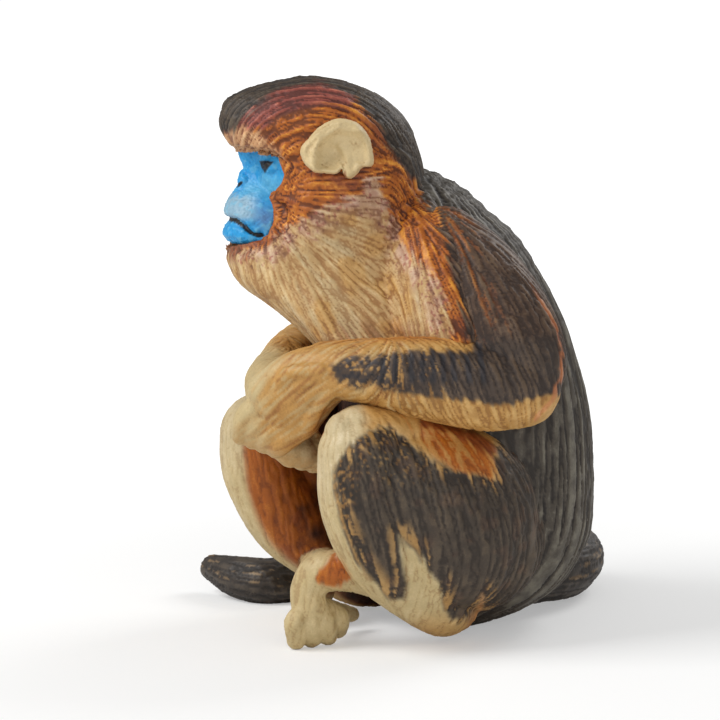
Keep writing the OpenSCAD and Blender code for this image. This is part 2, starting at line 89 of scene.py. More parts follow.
# Each coat of paint: its own colour, the colour left in the grooves and the one brushed on the ridges
COATS = {
    "cap": ((68, 56, 44), (30, 23, 18), (94, 82, 66)),
    "crown": ((140, 68, 56), (74, 34, 26), (188, 108, 84)),
    "orange": ((174, 92, 12), (88, 38, 4), (230, 156, 52)),
    # rust: rust-orange fur paint; below the ear it is laid as a painted shadow, and along the thigh tuft's
    # upper edge as fur paint and painted shade
    "rust": ((128, 56, 10), (60, 22, 4), (180, 94, 28)),
    "brow": ((196, 148, 104), (128, 76, 50), (226, 192, 150)),
    "bib": ((192, 156, 104), (156, 110, 62), (218, 192, 144)),
    "ochre": ((190, 142, 74), (136, 88, 36), (218, 178, 112)),
    "mauve": ((176, 134, 114), (112, 66, 54), (208, 176, 156)),
    "back": ((72, 64, 54), (32, 25, 20), (130, 124, 108)),
    "shoulder": ((78, 56, 40), (40, 27, 22), (118, 94, 70)),
    # rim: light orange, laid along the elbow's back edge as fur fringe paint and painted highlight
    "rim": ((196, 116, 66), (140, 76, 40), (222, 154, 106)),
    "sleeve": ((70, 55, 44), (42, 33, 30), (110, 88, 66)),
    "indigo": ((38, 33, 36), (27, 24, 28), (66, 58, 58)),
    "thigh": ((62, 50, 38), (36, 27, 20), (98, 82, 62)),
    # ivory: pale cream paint; on the left hand it also covers a painted highlight on the knuckles
    "ivory": ((196, 174, 126), (150, 110, 62), (218, 200, 158)),
    "chalk": ((200, 180, 138), (158, 126, 84), (224, 210, 178)),
    "inner": ((166, 86, 2), (86, 34, 2), (222, 142, 36)),
    "shadow": ((58, 24, 8), (26, 10, 4), (110, 52, 18)),
    "tail": ((52, 44, 38), (28, 23, 19), (90, 78, 64)),
    "fleck": ((140, 114, 82), (96, 76, 54), (176, 150, 112)),
    "blue": ((30, 152, 214), (14, 98, 166), (100, 200, 236)),
    # pale_blue: pale blue mottles and nose paint, and the painted highlight on the cheek
    "pale_blue": ((104, 184, 218), (60, 140, 190), (160, 212, 230)),
    # muzzle: pale grey-blue, the muzzle's own paint and a painted highlight on its front
    "muzzle": ((148, 180, 196), (92, 136, 168), (192, 212, 216)),
    "violet": ((112, 120, 168), (70, 84, 136), (160, 168, 200)),
    "ink": ((14, 13, 15), (8, 8, 9), (26, 25, 28)),
    "ear": ((212, 188, 140), (170, 134, 84), (228, 208, 166)),
}
COAT_PARTS = {"mid": "The coat itself", "deep": "What stays in the grooves", "tip": "Brushed on the ridges"}


def size_props():
    """One length property for each size, in metres, with the real one as its default"""
    return {
        name: FloatProperty(
            name=name.replace("_", " ").capitalize(), description=text, default=size * MM,
            min=size * MM / 4, max=size * MM * 4, unit="LENGTH", precision=5)
        for name, (size, text) in SIZES.items()
    }


def colour_props():
    """Three colour properties for each coat of paint"""
    return {
        f"{coat}_{part}": FloatVectorProperty(
            name=f"{coat.replace('_', ' ').capitalize()} {part}", description=COAT_PARTS[part],
            size=3, min=0, max=1, default=[level / 255 for level in colour], subtype="COLOR_GAMMA")
        for coat, colours in COATS.items() for part, colour in zip(COAT_PARTS, colours)
    }


class MonkeySizes(bpy.types.PropertyGroup):
    """Sizes of the figurine"""
    __annotations__ = size_props()


class MonkeyPaint(bpy.types.PropertyGroup):
    """Colours of the figurine's paint"""
    __annotations__ = colour_props()


def size(name):
    """A size in millimetres"""
    return getattr(bpy.context.scene.monkey_sizes, name) / MM


def coat(name):
    """The three colours of a coat, as linear light: the mid one, the groove's and the ridge's"""
    paint = bpy.context.scene.monkey_paint
    shown = np.array([getattr(paint, f"{name}_{part}") for part in COAT_PARTS])
    return np.where(shown <= 0.04045, shown / 12.92, ((shown + 0.055) / 1.055) ** 2.4)


# Sums on whole arrays

def unit(vectors):
    """Each vector divided by its length"""
    return vectors / np.maximum(np.linalg.norm(vectors, axis=-1, keepdims=True), 1e-9)


def ramp(low, high, values):
    """0 below low, 1 above high, and an S-curve 3t^2 - 2t^3 between them"""
    t = np.clip((values - low) / (high - low), 0, 1)
    return t * t * (3 - 2 * t)


def bell(values, width):
    """exp(-(x / width)^2)"""
    return np.exp(-(values / width) ** 2)


def trilinear(lattice, places):
    """Weighted mean of the eight lattice points round each place; the lattice repeats itself"""
    count = np.array(lattice.shape[:3])
    low = np.floor(places).astype(np.int64)
    part = places - low
    total = 0.0
    for corner in np.ndindex(2, 2, 2):
        weight = np.prod(np.where(corner, part, 1 - part), axis=1)
        i, j, k = ((low + corner) % count).T
        value = lattice[i, j, k]
        total = total + (weight[:, None] * value if value.ndim > 1 else weight * value)
    return total


LATTICE_SIDE = 64
BLOTCH_CUT = 1.6


@functools.lru_cache(maxsize=None)
def random_lattice(seed):
    """A cube of random values, each less a share of its neighbours' mean, so that broad blotches are weak"""
    lattice = np.random.default_rng(seed).standard_normal((LATTICE_SIDE,) * 3)
    around = sum(np.roll(lattice, way, axis) for way in (-1, 1) for axis in range(3)) / 6
    return lattice - BLOTCH_CUT * around


def noise(points, pitch, seed):
    """Smooth random values: trilinear in a random lattice of the given pitch, at about spread 1"""
    return 2.0 * trilinear(random_lattice(seed), points / pitch + 0.37)


def distance_to_stretches(across, up, start, end):
    """Distance to the nearest of the straight stretches from each start to its end, in their plane"""
    place = np.stack((across, up), -1)[:, None]
    side = end - start
    share = np.clip(((place - start) * side).sum(-1) / (side ** 2).sum(-1), 0, 1)
    return np.linalg.norm(place - start - share[..., None] * side, axis=-1).min(axis=1)


def distance_to_line(across, up, line):
    """Distance to an open line of straight stretches"""
    return distance_to_stretches(across, up, np.array(line[:-1]), np.array(line[1:]))


def distance_inside(across, up, outline):
    """Distance to a closed outline, positive inside, negative outside, told apart by counting crossings"""
    start = np.array(outline, float)
    end = np.roll(start, -1, axis=0)
    nearest = distance_to_stretches(across, up, start, end)
    across, up = across[:, None], up[:, None]
    side = end - start
    rise = np.where(side[:, 1] == 0, 1e-9, side[:, 1])
    crossed = (start[:, 1] > up) != (end[:, 1] > up)
    reach = start[:, 0] + (up - start[:, 1]) * side[:, 0] / rise
    inside = (crossed & (across < reach)).sum(axis=1) % 2 == 1
    return np.where(inside, nearest, -nearest)


# Forms: grids of points, ring after ring

def smooth_rows(rows, steps):
    """Catmull-Rom curve through the rows of a table, with so many steps from one row to the next"""
    rows = np.asarray(rows, float)
    last = len(rows) - 1
    at = np.linspace(0, last, last * steps + 1)
    i = np.minimum(at.astype(int), last - 1)
    t = (at - i)[:, None]
    a, b, c, d = rows[np.maximum(i - 1, 0)], rows[i], rows[i + 1], rows[np.minimum(i + 2, last)]
    square, cube = 2 * a - 5 * b + 4 * c - d, 3 * b - a - 3 * c + d
    return (2 * b + (c - a) * t + square * t ** 2 + cube * t ** 3) / 2


def level_form(rows, long, wide, high, sides=160, steps=8):
    """Level rings: x = half * cos^(2/p), y = widest + reach * sin^(2/p), z from the row"""
    rows = smooth_rows(np.asarray(rows, float) * (high, long, long, long, wide, 1), steps)[:, :, None]
    angle = np.arange(sides) * 2 * math.pi / sides
    power = 2 / rows[:, 5]
    side = np.sign(np.cos(angle)) * np.abs(np.cos(angle)) ** power
    fore = np.sign(np.sin(angle)) * np.abs(np.sin(angle)) ** power
    reach = np.where(fore < 0, rows[:, 2] - rows[:, 1], rows[:, 3] - rows[:, 2])
    return np.stack((rows[:, 4] * side, rows[:, 2] + fore * reach, rows[:, 0] + 0 * side), axis=-1)


END_TURNS = np.radians((82, 68, 54, 40, 26, 12))


def round_end(row, way):
    """Rows on a quarter ellipse beyond the last section"""
    reach = min(row[3], row[4])
    place = row[:3] + way * reach * np.sin(END_TURNS)[:, None]
    return np.hstack((place, row[3:] * np.cos(END_TURNS)[:, None]))


def tube_form(rows, wide, thick, flat=(1, 0, 0), sides=48, steps=8):
    """Rings round a centre line: place + across * a * cos + over * b * sin, with round ends"""
    rows = smooth_rows(np.asarray(rows, float) * (*seat_size(), wide, thick), steps)
    ways = unit(np.gradient(rows[:, :3], axis=0))
    rows = np.vstack((round_end(rows[0], -ways[0]), rows, round_end(rows[-1], ways[-1])[::-1]))
    centre = rows[:, :3]
    along = unit(np.gradient(centre, axis=0))
    across = unit(np.asarray(flat, float) - (along @ flat)[:, None] * along)
    over = np.cross(along, across)
    angle = (np.arange(sides) * 2 * math.pi / sides)[:, None]
    return (centre[:, None] + across[:, None] * rows[:, 3, None, None] * np.cos(angle)
            + over[:, None] * rows[:, 4, None, None] * np.sin(angle))


def limb_form(rows, name, flat=(1, 0, 0), sides=48):
    """A tube whose table counts both width and thickness in the one named size"""
    return tube_form(rows, size(name), size(name), flat, sides)


def digit_forms(first, last, count, name):
    """A row of like digits, from the first to the last table in even steps"""
    first, last = np.asarray(first, float), np.asarray(last, float)
    return [limb_form(first + (last - first) * k / (count - 1), name, (1, 1, 0), sides=24)
            for k in range(count)]


def closed_faces(rings, sides):
    """Quads between the rings and a fan of triangles to a pole at each end"""
    ring = np.arange(sides)
    turn = (ring + 1) % sides
    low = np.arange(rings - 1)[:, None] * sides
    corners = (low + ring, low + turn, low + sides + turn, low + sides + ring)
    quads = np.stack(corners, axis=-1).reshape(-1, 4)
    top = (rings - 1) * sides
    first = np.stack((turn, ring, np.full(sides, rings * sides)), axis=-1)
    last = np.stack((top + ring, top + turn, np.full(sides, rings * sides + 1)), axis=-1)
    return quads, np.vstack((first, last))


def closed_form(grid):
    """Points and faces of one closed form, its two poles last"""
    rings, sides = grid.shape[:2]
    points = np.vstack((grid.reshape(-1, 3), grid[0].mean(axis=0), grid[-1].mean(axis=0)))
    quads, fans = closed_faces(rings, sides)
    return points, quads.tolist() + fans.tolist()


def seat_size():
    return np.array((size("torso_w"), size("torso_d"), size("torso_h")))


# Skins: one even mesh over overlapping forms

def evaluated(mesh, modifiers):
    """A mesh's points and corners once modifiers have worked on it; each is given as a kind and settings"""
    obj = bpy.data.objects.new("worked", mesh)
    bpy.context.scene.collection.objects.link(obj)
    for kind, settings in modifiers:
        modifier = obj.modifiers.new(kind, kind)
        for key, value in settings.items():
            setattr(modifier, key, value)
    done = obj.evaluated_get(bpy.context.evaluated_depsgraph_get())
    result = done.to_mesh()
    points = np.empty(3 * len(result.vertices))
    corners = np.empty(len(result.loops), np.int32)
    result.vertices.foreach_get("co", points)
    result.loops.foreach_get("vertex_index", corners)
    done.to_mesh_clear()
    bpy.data.objects.remove(obj)
    return points.reshape(-1, 3), corners


def plain_mesh(name, points, faces):
    mesh = bpy.data.meshes.new(name)
    mesh.from_pydata(points.tolist(), [], faces)
    return mesh


# Strands: the step along a stroke as a share of the pitch, and a tuft's pitch and reach in those of a strand
STRIDE, TUFT_PITCH, TUFT_REACH = 0.9, 3.2, 1.8
# Where a strand's profile crosses the plain skin, the strand value that takes neither wash nor brush, on fur
# and on bare skin, and the depth of groove that takes both in full
LEVEL_STRAND, PLAIN_STRAND, PLAIN_PIT, FULL_DEPTH = 0.6, 0.66, 0.62, 0.17


class Skin:
    """One closed skin over forms that overlap: points in millimetres, quads and outward normals"""

    def __init__(self, forms, voxel, rounds=6):
        points, faces, start = [], [], 0
        for form in forms:
            form_points, form_faces = closed_form(form)
            points.append(form_points)
            faces += [[corner + start for corner in face] for face in form_faces]
            start += len(form_points)
        mesh = plain_mesh("forms", np.vstack(points), faces)
        self.points, corners = evaluated(mesh, [("REMESH", {"mode": "VOXEL", "voxel_size": voxel})])
        bpy.data.meshes.remove(mesh)
        self.quads = corners.reshape(-1, 4)
        self.ease(rounds)

    def copy(self):
        """The same skin with points of its own"""
        twin = copy.copy(self)
        twin.points = self.points.copy()
        return twin

    def mean(self, values):
        """Mean of the values at each point's neighbours along the edges"""
        start = self.quads[:, (0, 1, 2, 3, 1, 2, 3, 0)].ravel()
        end = self.quads[:, (1, 2, 3, 0, 0, 1, 2, 3)].ravel()
        count = np.bincount(start, minlength=len(self.points))
        columns = values.reshape(len(values), -1).T
        sums = [np.bincount(start, column[end], minlength=len(self.points)) for column in columns]
        return (np.array(sums) / count).T.reshape(values.shape)

    def ease(self, rounds):
        """Smooths steps away: half way to the neighbours' mean, then a little more than half way back"""
        for _ in range(rounds):
            self.points += 0.5 * (self.mean(self.points) - self.points)
            self.points -= 0.52 * (self.mean(self.points) - self.points)
        self.measure()

    def measure(self):
        """Outward normals: the sum of the crossed diagonals of the quads at each point"""
        a, b, c, d = (self.points[self.quads[:, k]] for k in range(4))
        facing = np.cross(c - a, d - b)
        corner = self.quads.ravel()
        columns = np.repeat(facing.T, 4, axis=1)
        total = [np.bincount(corner, column, minlength=len(self.points)) for column in columns]
        self.normals = unit(np.array(total).T)

    def facing_field(self, cell=1.2):
        """Normals gathered on a coarse lattice, so that a stroke can follow the skin"""
        low = self.points.min(axis=0) - 4 * cell
        shape = np.ceil((self.points.max(axis=0) - low) / cell).astype(int) + 5
        index = np.ravel_multi_index(np.rint((self.points - low) / cell).astype(int).T, shape)
        sums = [np.bincount(index, column, minlength=np.prod(shape)) for column in self.normals.T]
        lattice = np.stack([total.reshape(shape) for total in sums], axis=-1)
        for _ in range(2):
            for axis in range(3):
                lattice = np.roll(lattice, 1, axis) + 2 * lattice + np.roll(lattice, -1, axis)
        return lambda places: unit(trilinear(lattice, (places - low) / cell))

    def combed(self, flow, pitch, reach, seed):
        """Random values drawn out into strands: a lattice summed along the stroke through each point"""
        lattice, field = random_lattice(seed), self.facing_field()
        stride = STRIDE * pitch
        total = trilinear(lattice, self.points / pitch)
        for way in (-stride, stride):
            places = self.points.copy()
            for _ in range(max(1, round(reach / stride))):
                normal = field(places)
                heading = flow(places)
                heading = heading - (heading * normal).sum(axis=1)[:, None] * normal
                places = places + way * unit(heading)
                total = total + trilinear(lattice, places / pitch)
        return total / total.std()

    def carve(self, flow, depth, pitch, reach, tuft=0.0, width=0.55, seed=1):
        """Cuts the strands: each groove is a valley exp(-(n / w)^2) where the combed values n pass zero"""
        self.ragged = self.combed(flow, pitch, reach, seed)
        self.tufts = self.combed(flow, TUFT_PITCH * pitch, TUFT_REACH * reach, seed + 1)
        valley = 1 - bell(self.ragged, width)
        self.points += self.normals * (depth * (valley - LEVEL_STRAND) + tuft * self.tufts)[:, None]
        self.strand = PLAIN_STRAND + (valley - PLAIN_STRAND) * np.clip(depth / FULL_DEPTH, 0.25, 1)

    def pit(self, pitches, relief, shade, seed):
        """Roughens bare skin by the sum of a broad and a fine noise, and gives both"""
        broad, fine = (noise(self.points, pitch, seed + k) for k, pitch in enumerate(pitches))
        self.points += self.normals * (relief * fine + 0.03 * broad)[:, None]
        self.strand = np.clip(PLAIN_PIT + shade * fine + 0.1 * broad, 0, 1)
        return broad, fine

    def place(self, points):
        """Moves the skin to new points, with normals to match"""
        self.points = points
        self.measure()

    def hollows(self, rounds=14):
        """How deep each point lies below the smoothed skin, in quarters of a millimetre"""
        smooth = self.points
        for _ in range(rounds):
            smooth = self.mean(smooth)
        return 4 * ((smooth - self.points) * self.normals).sum(axis=1)


class Paint:
    """Coats of paint on a skin, laid over each other through soft masks"""

    def __init__(self, skin, first):
        self.colours = np.repeat(coat(first)[:, None], len(skin.points), axis=1)

    def lay(self, mask, name, strength=1.0):
        mask = np.clip(mask * strength, 0, 1)[None, :, None]
        self.colours += (coat(name)[:, None] - self.colours) * mask


def painted_mesh(skin, paint):
    """The finished skin in metres, with its paint and its relief as attributes"""
    mesh = plain_mesh("skin", skin.points * MM, skin.quads.tolist())
    for part, colours in zip(COAT_PARTS, paint.colours):
        attribute = mesh.color_attributes.new(part, "FLOAT_COLOR", "POINT")
        attribute.data.foreach_set("color", np.hstack((colours, np.ones((len(colours), 1)))).ravel())
    for part, values in (("strand", skin.strand), ("hollow", skin.hollows())):
        mesh.attributes.new(part, "FLOAT", "POINT").data.foreach_set("value", np.ascontiguousarray(values))
    mesh.shade_smooth()
    return mesh


def add_piece(name, mesh, node, material):
    """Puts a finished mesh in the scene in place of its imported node"""
    mesh.name = name
    mesh.materials.append(material)
    piece = bpy.data.objects.new(name, mesh)
    bpy.context.scene.collection.objects.link(piece)
    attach(piece, "root")
    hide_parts(node)


# Shader sums

class Socket:
    """A shader socket that takes part in sums: each sum on it adds its Math node"""

    def __init__(self, nodes, socket):
        self.nodes, self.socket = nodes, socket

    def math(self, operation, first, second):
        return self.nodes.node("ShaderNodeMath", {"operation": operation}, {0: first, 1: second})

    def __add__(self, other):
        return self.math("ADD", self, other)

    def __mul__(self, other):
        return self.math("MULTIPLY", self, other)

    def __sub__(self, other):
        return self.math("SUBTRACT", self, other)

    def __rsub__(self, other):
        return self.math("SUBTRACT", other, self)

    __radd__, __rmul__ = __add__, __mul__

    def between(self, low, high):
        """0 below low, 1 above high, smooth between"""
        return self.nodes.node("ShaderNodeMapRange", {"interpolation_type": "SMOOTHSTEP"},
                               {"Value": self, "From Min": low, "From Max": high})


class Nodes:
    """The nodes of a material or a world, made one by one through node()"""

    def __init__(self, owner):
        self.owner = owner
        owner.use_nodes = True
        owner.node_tree.nodes.clear()

    def node(self, kind, settings=None, inputs=None, out=0):
        """Adds a node by type, settings and the values or links of its sockets; gives an output socket"""
        node = self.owner.node_tree.nodes.new(kind)
        for key, value in (settings or {}).items():
            setattr(node, key, value)
        for key, value in (inputs or {}).items():
            if isinstance(value, Socket):
                self.owner.node_tree.links.new(value.socket, node.inputs[key])
            else:
                node.inputs[key].default_value = value
        return Socket(self, node.outputs[out]) if node.outputs else None

    def attribute(self, name, out="Color"):
        return self.node("ShaderNodeAttribute", {"attribute_name": name}, out=out)

    def mix(self, share, first, second, blend="MIX"):
        """Mix of two colours"""
        return self.node("ShaderNodeMix", {"data_type": "RGBA", "blend_type": blend},
                         {0: share, 6: first, 7: second}, out=2)

    def grain(self, grain_mm, detail=2.0):
        """Noise on the object's own coordinates, from 0 to 1"""
        place = self.node("ShaderNodeTexCoord", out="Object")
        return self.node("ShaderNodeTexNoise", {"noise_dimensions": "3D"},
                         {"Vector": place, "Scale": 1 / (grain_mm * MM), "Detail": detail})

    def finished(self, shader, output="ShaderNodeOutputMaterial"):
        """The material or world, with its last shader linked to its output"""
        self.node(output, inputs={"Surface": shader})
        return self.owner


# Values of the strand, of the patches' noise and of the hollow between which a wash or a brush fades
GROOVE_LEVELS, RIDGE_LEVELS = (0.12, 0.62), (0.72, 1.05)
BRUSHED_PATCHES, HOLLOW_LEVELS = (0.3, 0.65), (0.15, 1.3)
PATCH_MM, PATCH_DETAIL = 2.4, 3.0


def painted_plastic(name, roughness=0.52, wash=0.5, brush=0.6, grain_mm=0.3, bump=0.25):
    """Matt acrylic: the coat, its wash in grooves and hollows, a dry brush on the ridges, and fine grain"""
    nodes = Nodes(bpy.data.materials.new(name))
    strand, hollow = nodes.attribute("strand", "Fac"), nodes.attribute("hollow", "Fac")
    grain, patches = nodes.grain(grain_mm), nodes.grain(PATCH_MM, PATCH_DETAIL)
    height = strand + (grain - 0.5) * 0.22
    groove = 1 - height.between(*GROOVE_LEVELS)
    ridge = height.between(*RIDGE_LEVELS) * patches.between(*BRUSHED_PATCHES)
    pooled = hollow.between(*HOLLOW_LEVELS)
    colour = nodes.mix(groove * wash + pooled * wash * 0.8, nodes.attribute("mid"), nodes.attribute("deep"))
    colour = nodes.mix(ridge * brush * (1 - pooled), colour, nodes.attribute("tip"))
    shade = (0.84 + 0.3 * patches) * (0.9 + 0.2 * grain)
    tone = nodes.node("ShaderNodeCombineColor", inputs={0: shade, 1: shade, 2: shade})
    uneven = roughness + 0.14 * (1 - strand) - 0.1 * (patches - 0.5)
    relief = {"Strength": bump, "Distance": 0.1 * MM, "Height": height + grain}
    bumped = nodes.node("ShaderNodeBump", inputs=relief, out="Normal")
    return nodes.finished(nodes.node("ShaderNodeBsdfPrincipled", out="BSDF", inputs={
        "Base Color": nodes.mix(1.0, colour, tone, "MULTIPLY"), "Roughness": uneven, "Normal": bumped}))


# Torso

TORSO_SHARE = (
    (0.000, -0.06, 0.06, 0.230, 0.130, 2.0),
    (0.020, -0.11, 0.06, 0.330, 0.220, 2.0),
    (0.050, -0.18, 0.06, 0.430, 0.315, 2.1),
    (0.100, -0.27, 0.08, 0.530, 0.410, 2.1),
    (0.190, -0.33, 0.09, 0.605, 0.490, 2.1),
    (0.290, -0.33, 0.10, 0.620, 0.500, 2.1),
    (0.400, -0.32, 0.12, 0.615, 0.485, 2.1),
    (0.490, -0.30, 0.12, 0.590, 0.475, 2.1),
    (0.590, -0.30, 0.10, 0.535, 0.465, 2.1),
    (0.680, -0.30, 0.07, 0.475, 0.450, 2.1),
    (0.770, -0.29, 0.02, 0.393, 0.415, 2.1),
    (0.850, -0.28, -0.04, 0.312, 0.360, 2.1),
    (0.910, -0.27, -0.08, 0.202, 0.285, 2.0),
    (0.960, -0.25, -0.11, 0.108, 0.200, 2.0),
    (1.000, -0.20, -0.12, -0.02, 0.090, 2.0),
)

# The camera, and the photographed side as the camera sees it: u runs to the viewer's right and v up, in
# millimetres, and the figure's right half is folded over onto its left half
VIEW_TURN, VIEW_RISE = math.radians(63), math.radians(8)
VIEW_TARGET = (-4.68, -9.18, 39.5)
VIEW_DISTANCE = 550.0
SIDE_START = (-10.34, 38.26)


def view_axes():
    """The camera's axes: to its right, up, and from the target to the camera"""
    c, s, low, high = math.cos(VIEW_TURN), math.sin(VIEW_TURN), math.cos(VIEW_RISE), math.sin(VIEW_RISE)
    return np.array(((c, s, 0), (-high * s, high * c, low), (low * s, -low * c, high)))


def left_half(points):
    """The right half folded over onto the left one"""
    return points * np.where(points[:, :1] < 0, (-1, 1, 1), 1)


def seen(points):
    """Right and up on the plane through the target: (r, u) * d / (d - n) for a point n nearer than it"""
    across, up, near = view_axes() @ (points - VIEW_TARGET).T
    scale = VIEW_DISTANCE / (VIEW_DISTANCE - near)
    return across * scale + SIDE_START[0], up * scale + SIDE_START[1]


def side_plane(points):
    """The body's photographed side"""
    return seen(left_half(points))


def grounded(skin):
    """Presses what reaches below the ground flat onto it"""
    skin.points[:, 2] = np.maximum(skin.points[:, 2], 0)


def body_flow(points):
    """Down the back and flanks, leaning forward towards the seat"""
    lean = -0.55 * (1 - ramp(4, 30, points[:, 2]))
    return np.stack((0 * lean, lean, lean - 1), axis=-1)


# Where one coat passes into the next on the body: forward (negative) or up, in millimetres
BELLY_START, LAP_TOP, CHEST_START, SEAT_TOP = (-2, -8), (40, 30), (34, 44), (10, 0)


def torso_piece():
    skin = Skin([level_form(TORSO_SHARE, size("torso_d"), size("torso_w"), size("torso_h"))], voxel=0.36)
    grounded(skin)
    skin.carve(body_flow, size("strand_depth"), size("strand_pitch"), reach=18.0, tuft=0.12, seed=11)
    grounded(skin)
    y, z = skin.points[:, 1], skin.points[:, 2]
    rough = 0.8 * skin.ragged
    front = ramp(*BELLY_START, y + rough) * ramp(0.2, 0.8, -skin.normals[:, 1])
    paint = Paint(skin, "back")
    paint.lay(front * ramp(*LAP_TOP, z), "shadow")
    paint.lay(front * ramp(*CHEST_START, z), "ochre")
    paint.lay(ramp(*SEAT_TOP, z + rough), "thigh", 0.7)
    return painted_mesh(skin, paint)


# Head: worked out in a frame of its own, turned to the figure's right

HEAD_PLACE_SHARE = (-0.10, -0.44, 1.02)
HEAD_TURN = math.radians(-25)
SKULL_SHARE = (
    (-0.44, -0.345, 0.05, 0.640, 0.480, 2.2),
    (-0.30, -0.200, 0.05, 0.590, 0.485, 2.2),
    (-0.15, -0.200, 0.06, 0.560, 0.475, 2.2),
    (-0.04, -0.270, 0.08, 0.545, 0.450, 2.2),
    (0.045, -0.355, 0.10, 0.525, 0.435, 2.3),
    (0.115, -0.405, 0.10, 0.505, 0.425, 2.3),
    (0.180, -0.435, 0.09, 0.480, 0.415, 2.3),
    (0.245, -0.437, 0.08, 0.440, 0.400, 2.3),
    (0.320, -0.410, 0.05, 0.370, 0.360, 2.2),
    (0.370, -0.345, 0.03, 0.300, 0.310, 2.1),
    (0.415, -0.235, 0.01, 0.205, 0.230, 2.0),
    (0.443, -0.120, 0.00, 0.090, 0.130, 2.0),
    (0.455, -0.070, 0.00, 0.030, 0.050, 2.0),
)
JAW_SHARE = -0.44
CAPE_SHARE = (
    (-1.45, 0.220, 0.340, 0.700, 0.500, 2.2),
    (-1.20, 0.110, 0.220, 0.820, 0.640, 2.2),
    (-0.93, -0.005, 0.140, 0.840, 0.660, 2.2),
    (-0.71, -0.125, 0.100, 0.800, 0.620, 2.2),
    (-0.53, -0.245, 0.080, 0.760, 0.580, 2.2),
    (-0.44, -0.315, 0.070, 0.730, 0.550, 2.2),
    (-0.33, -0.370, 0.060, 0.710, 0.520, 2.2),
    (-0.17, -0.403, 0.050, 0.690, 0.490, 2.2),
    (-0.07, -0.398, 0.050, 0.670, 0.480, 2.2),
)
# The mane over the front of both shoulders, worked out in the body's frame
DRAPE_SHARE = (
    (0.560, -0.32, -0.14, -0.04, 0.360, 2.2),
    (0.610, -0.36, -0.14, -0.04, 0.500, 2.2),
    (0.660, -0.38, -0.14, -0.04, 0.578, 2.2),
    (0.710, -0.37, -0.14, -0.04, 0.565, 2.2),
    (0.790, -0.35, -0.14, -0.04, 0.515, 2.2),
    (0.870, -0.31, -0.14, -0.05, 0.425, 2.2),
    (0.935, -0.26, -0.14, -0.06, 0.265, 2.2),
    (0.980, -0.22, -0.14, -0.08, 0.150, 2.2),
)

# Outlines on the side of the head: forward of and above the head's own centre, in millimetres
FACE_EDGE = ((16, 1.5), (10.6, 1.1), (8.5, 0.85), (6.5, 0.5), (4.9, 0.0), (4.3, -0.9), (4.0, -2.2),
             (4.5, -3.7), (5.4, -4.6), (6.1, -4.9), (6.2, -5.6), (5.7, -6.7), (5.5, -8.0), (5.7, -9.6),
             (6.3, -10.8), (7.4, -11.7), (9.6, -12.3), (16, -12.6))
CAP_EDGE = ((16, 3.6), (12.3, 3.9), (8.9, 7.1), (4.0, 10.6), (-1.5, 11.4), (-6.4, 8.9), (-9.7, 4.9),
            (-12.9, -0.2), (-15.2, -3.0), (-17.0, -6.6), (-19.9, -11.8), (-21.4, -17.7), (-22.9, -23.6),
            (-24.2, -40), (-40, -40), (-40, 30), (16, 30))
CROWN_EDGE = ((16, 4.6), (12.3, 5.9), (8.9, 9.1), (4.0, 12.6), (-1.5, 13.4), (-8.0, 10.4), (-6.2, 7.7),
              (-2.4, 7.9), (1.2, 7.6), (4.6, 6.4), (7.4, 4.4), (9.2, 3.6), (11.0, 3.0))
BROW_EDGE = ((16, 4.2), (12.0, 4.2), (9.6, 4.9), (7.6, 4.2), (6.6, 2.6), (5.0, 1.6), (4.2, 0.6),
             (4.2, -0.6), (16, -0.4))
EAR_SHADE = ((0.1, -1.3), (-2.5, -1.9), (-4.1, -2.6), (-6.3, -3.6), (-7.6, -2.2))
BIB_EDGE = ((16, -13.4), (9.6, -13.2), (6.9, -12.6), (4.6, -11.0), (1.8, -9.0), (-2.4, -7.0), (-7.5, -4.9),
            (-8.6, -2.8), (-10.2, -2.8), (-11.6, -6.6), (-13.6, -11.4), (-15.5, -14.3), (-18.8, -18.5),
            (-20.2, -21.4), (-21.6, -30), (16, -40))


def head_place():
    return np.array(HEAD_PLACE_SHARE) * seat_size()


HEAD_START = (-17.7, 67.8)
# Heights between which the mane passes from the head's own side to the body's
MANE_TOP, MANE_LOW = -5, -12


def head_side(points):
    """The head's photographed side, its other half folded over: forward of and above the head's centre"""
    u, v = seen(to_world(left_half(points)))
    return HEAD_START[0] - u, v - HEAD_START[1]


def mane_side(points):
    """The mane's side: the head's own one above, the body's below, both counted from the head's centre"""
    f, z = head_side(points)
    u, v = side_plane(to_world(points))
    low = ramp(MANE_TOP, MANE_LOW, z)
    return f + (HEAD_START[0] - u - f) * low, z + (v - HEAD_START[1] - z) * low


def head_axes():
    """The head's own axes as rows"""
    c, s = math.cos(HEAD_TURN), math.sin(HEAD_TURN)
    return np.array(((c, s, 0), (-s, c, 0), (0, 0, 1)))


def to_world(points):
    """Turns head points about Z and moves them to the head's place"""
    return points @ head_axes() + head_place()


def to_head(points):
    """The way back from the figure's frame to the head's"""
    return (points - head_place()) @ head_axes().T


def head_rows():
    """Cape rows, lifted to hang from the jaw, then skull rows, all in millimetres"""
    scale = np.array((0, size("head_l"), size("head_l"), size("head_l"), size("head_w"), 1))
    cape = np.array(CAPE_SHARE) * (scale + (size("cape_h"), 0, 0, 0, 0, 0))
    skull = np.array(SKULL_SHARE) * (scale + (size("head_h"), 0, 0, 0, 0, 0))
    cape[:, 0] += JAW_SHARE * size("head_h")
    return np.vstack((cape, skull))


CROWN_CENTRE = (-0.3, -2.8)
MUZZLE_CENTRE = (7.8, -4.6)


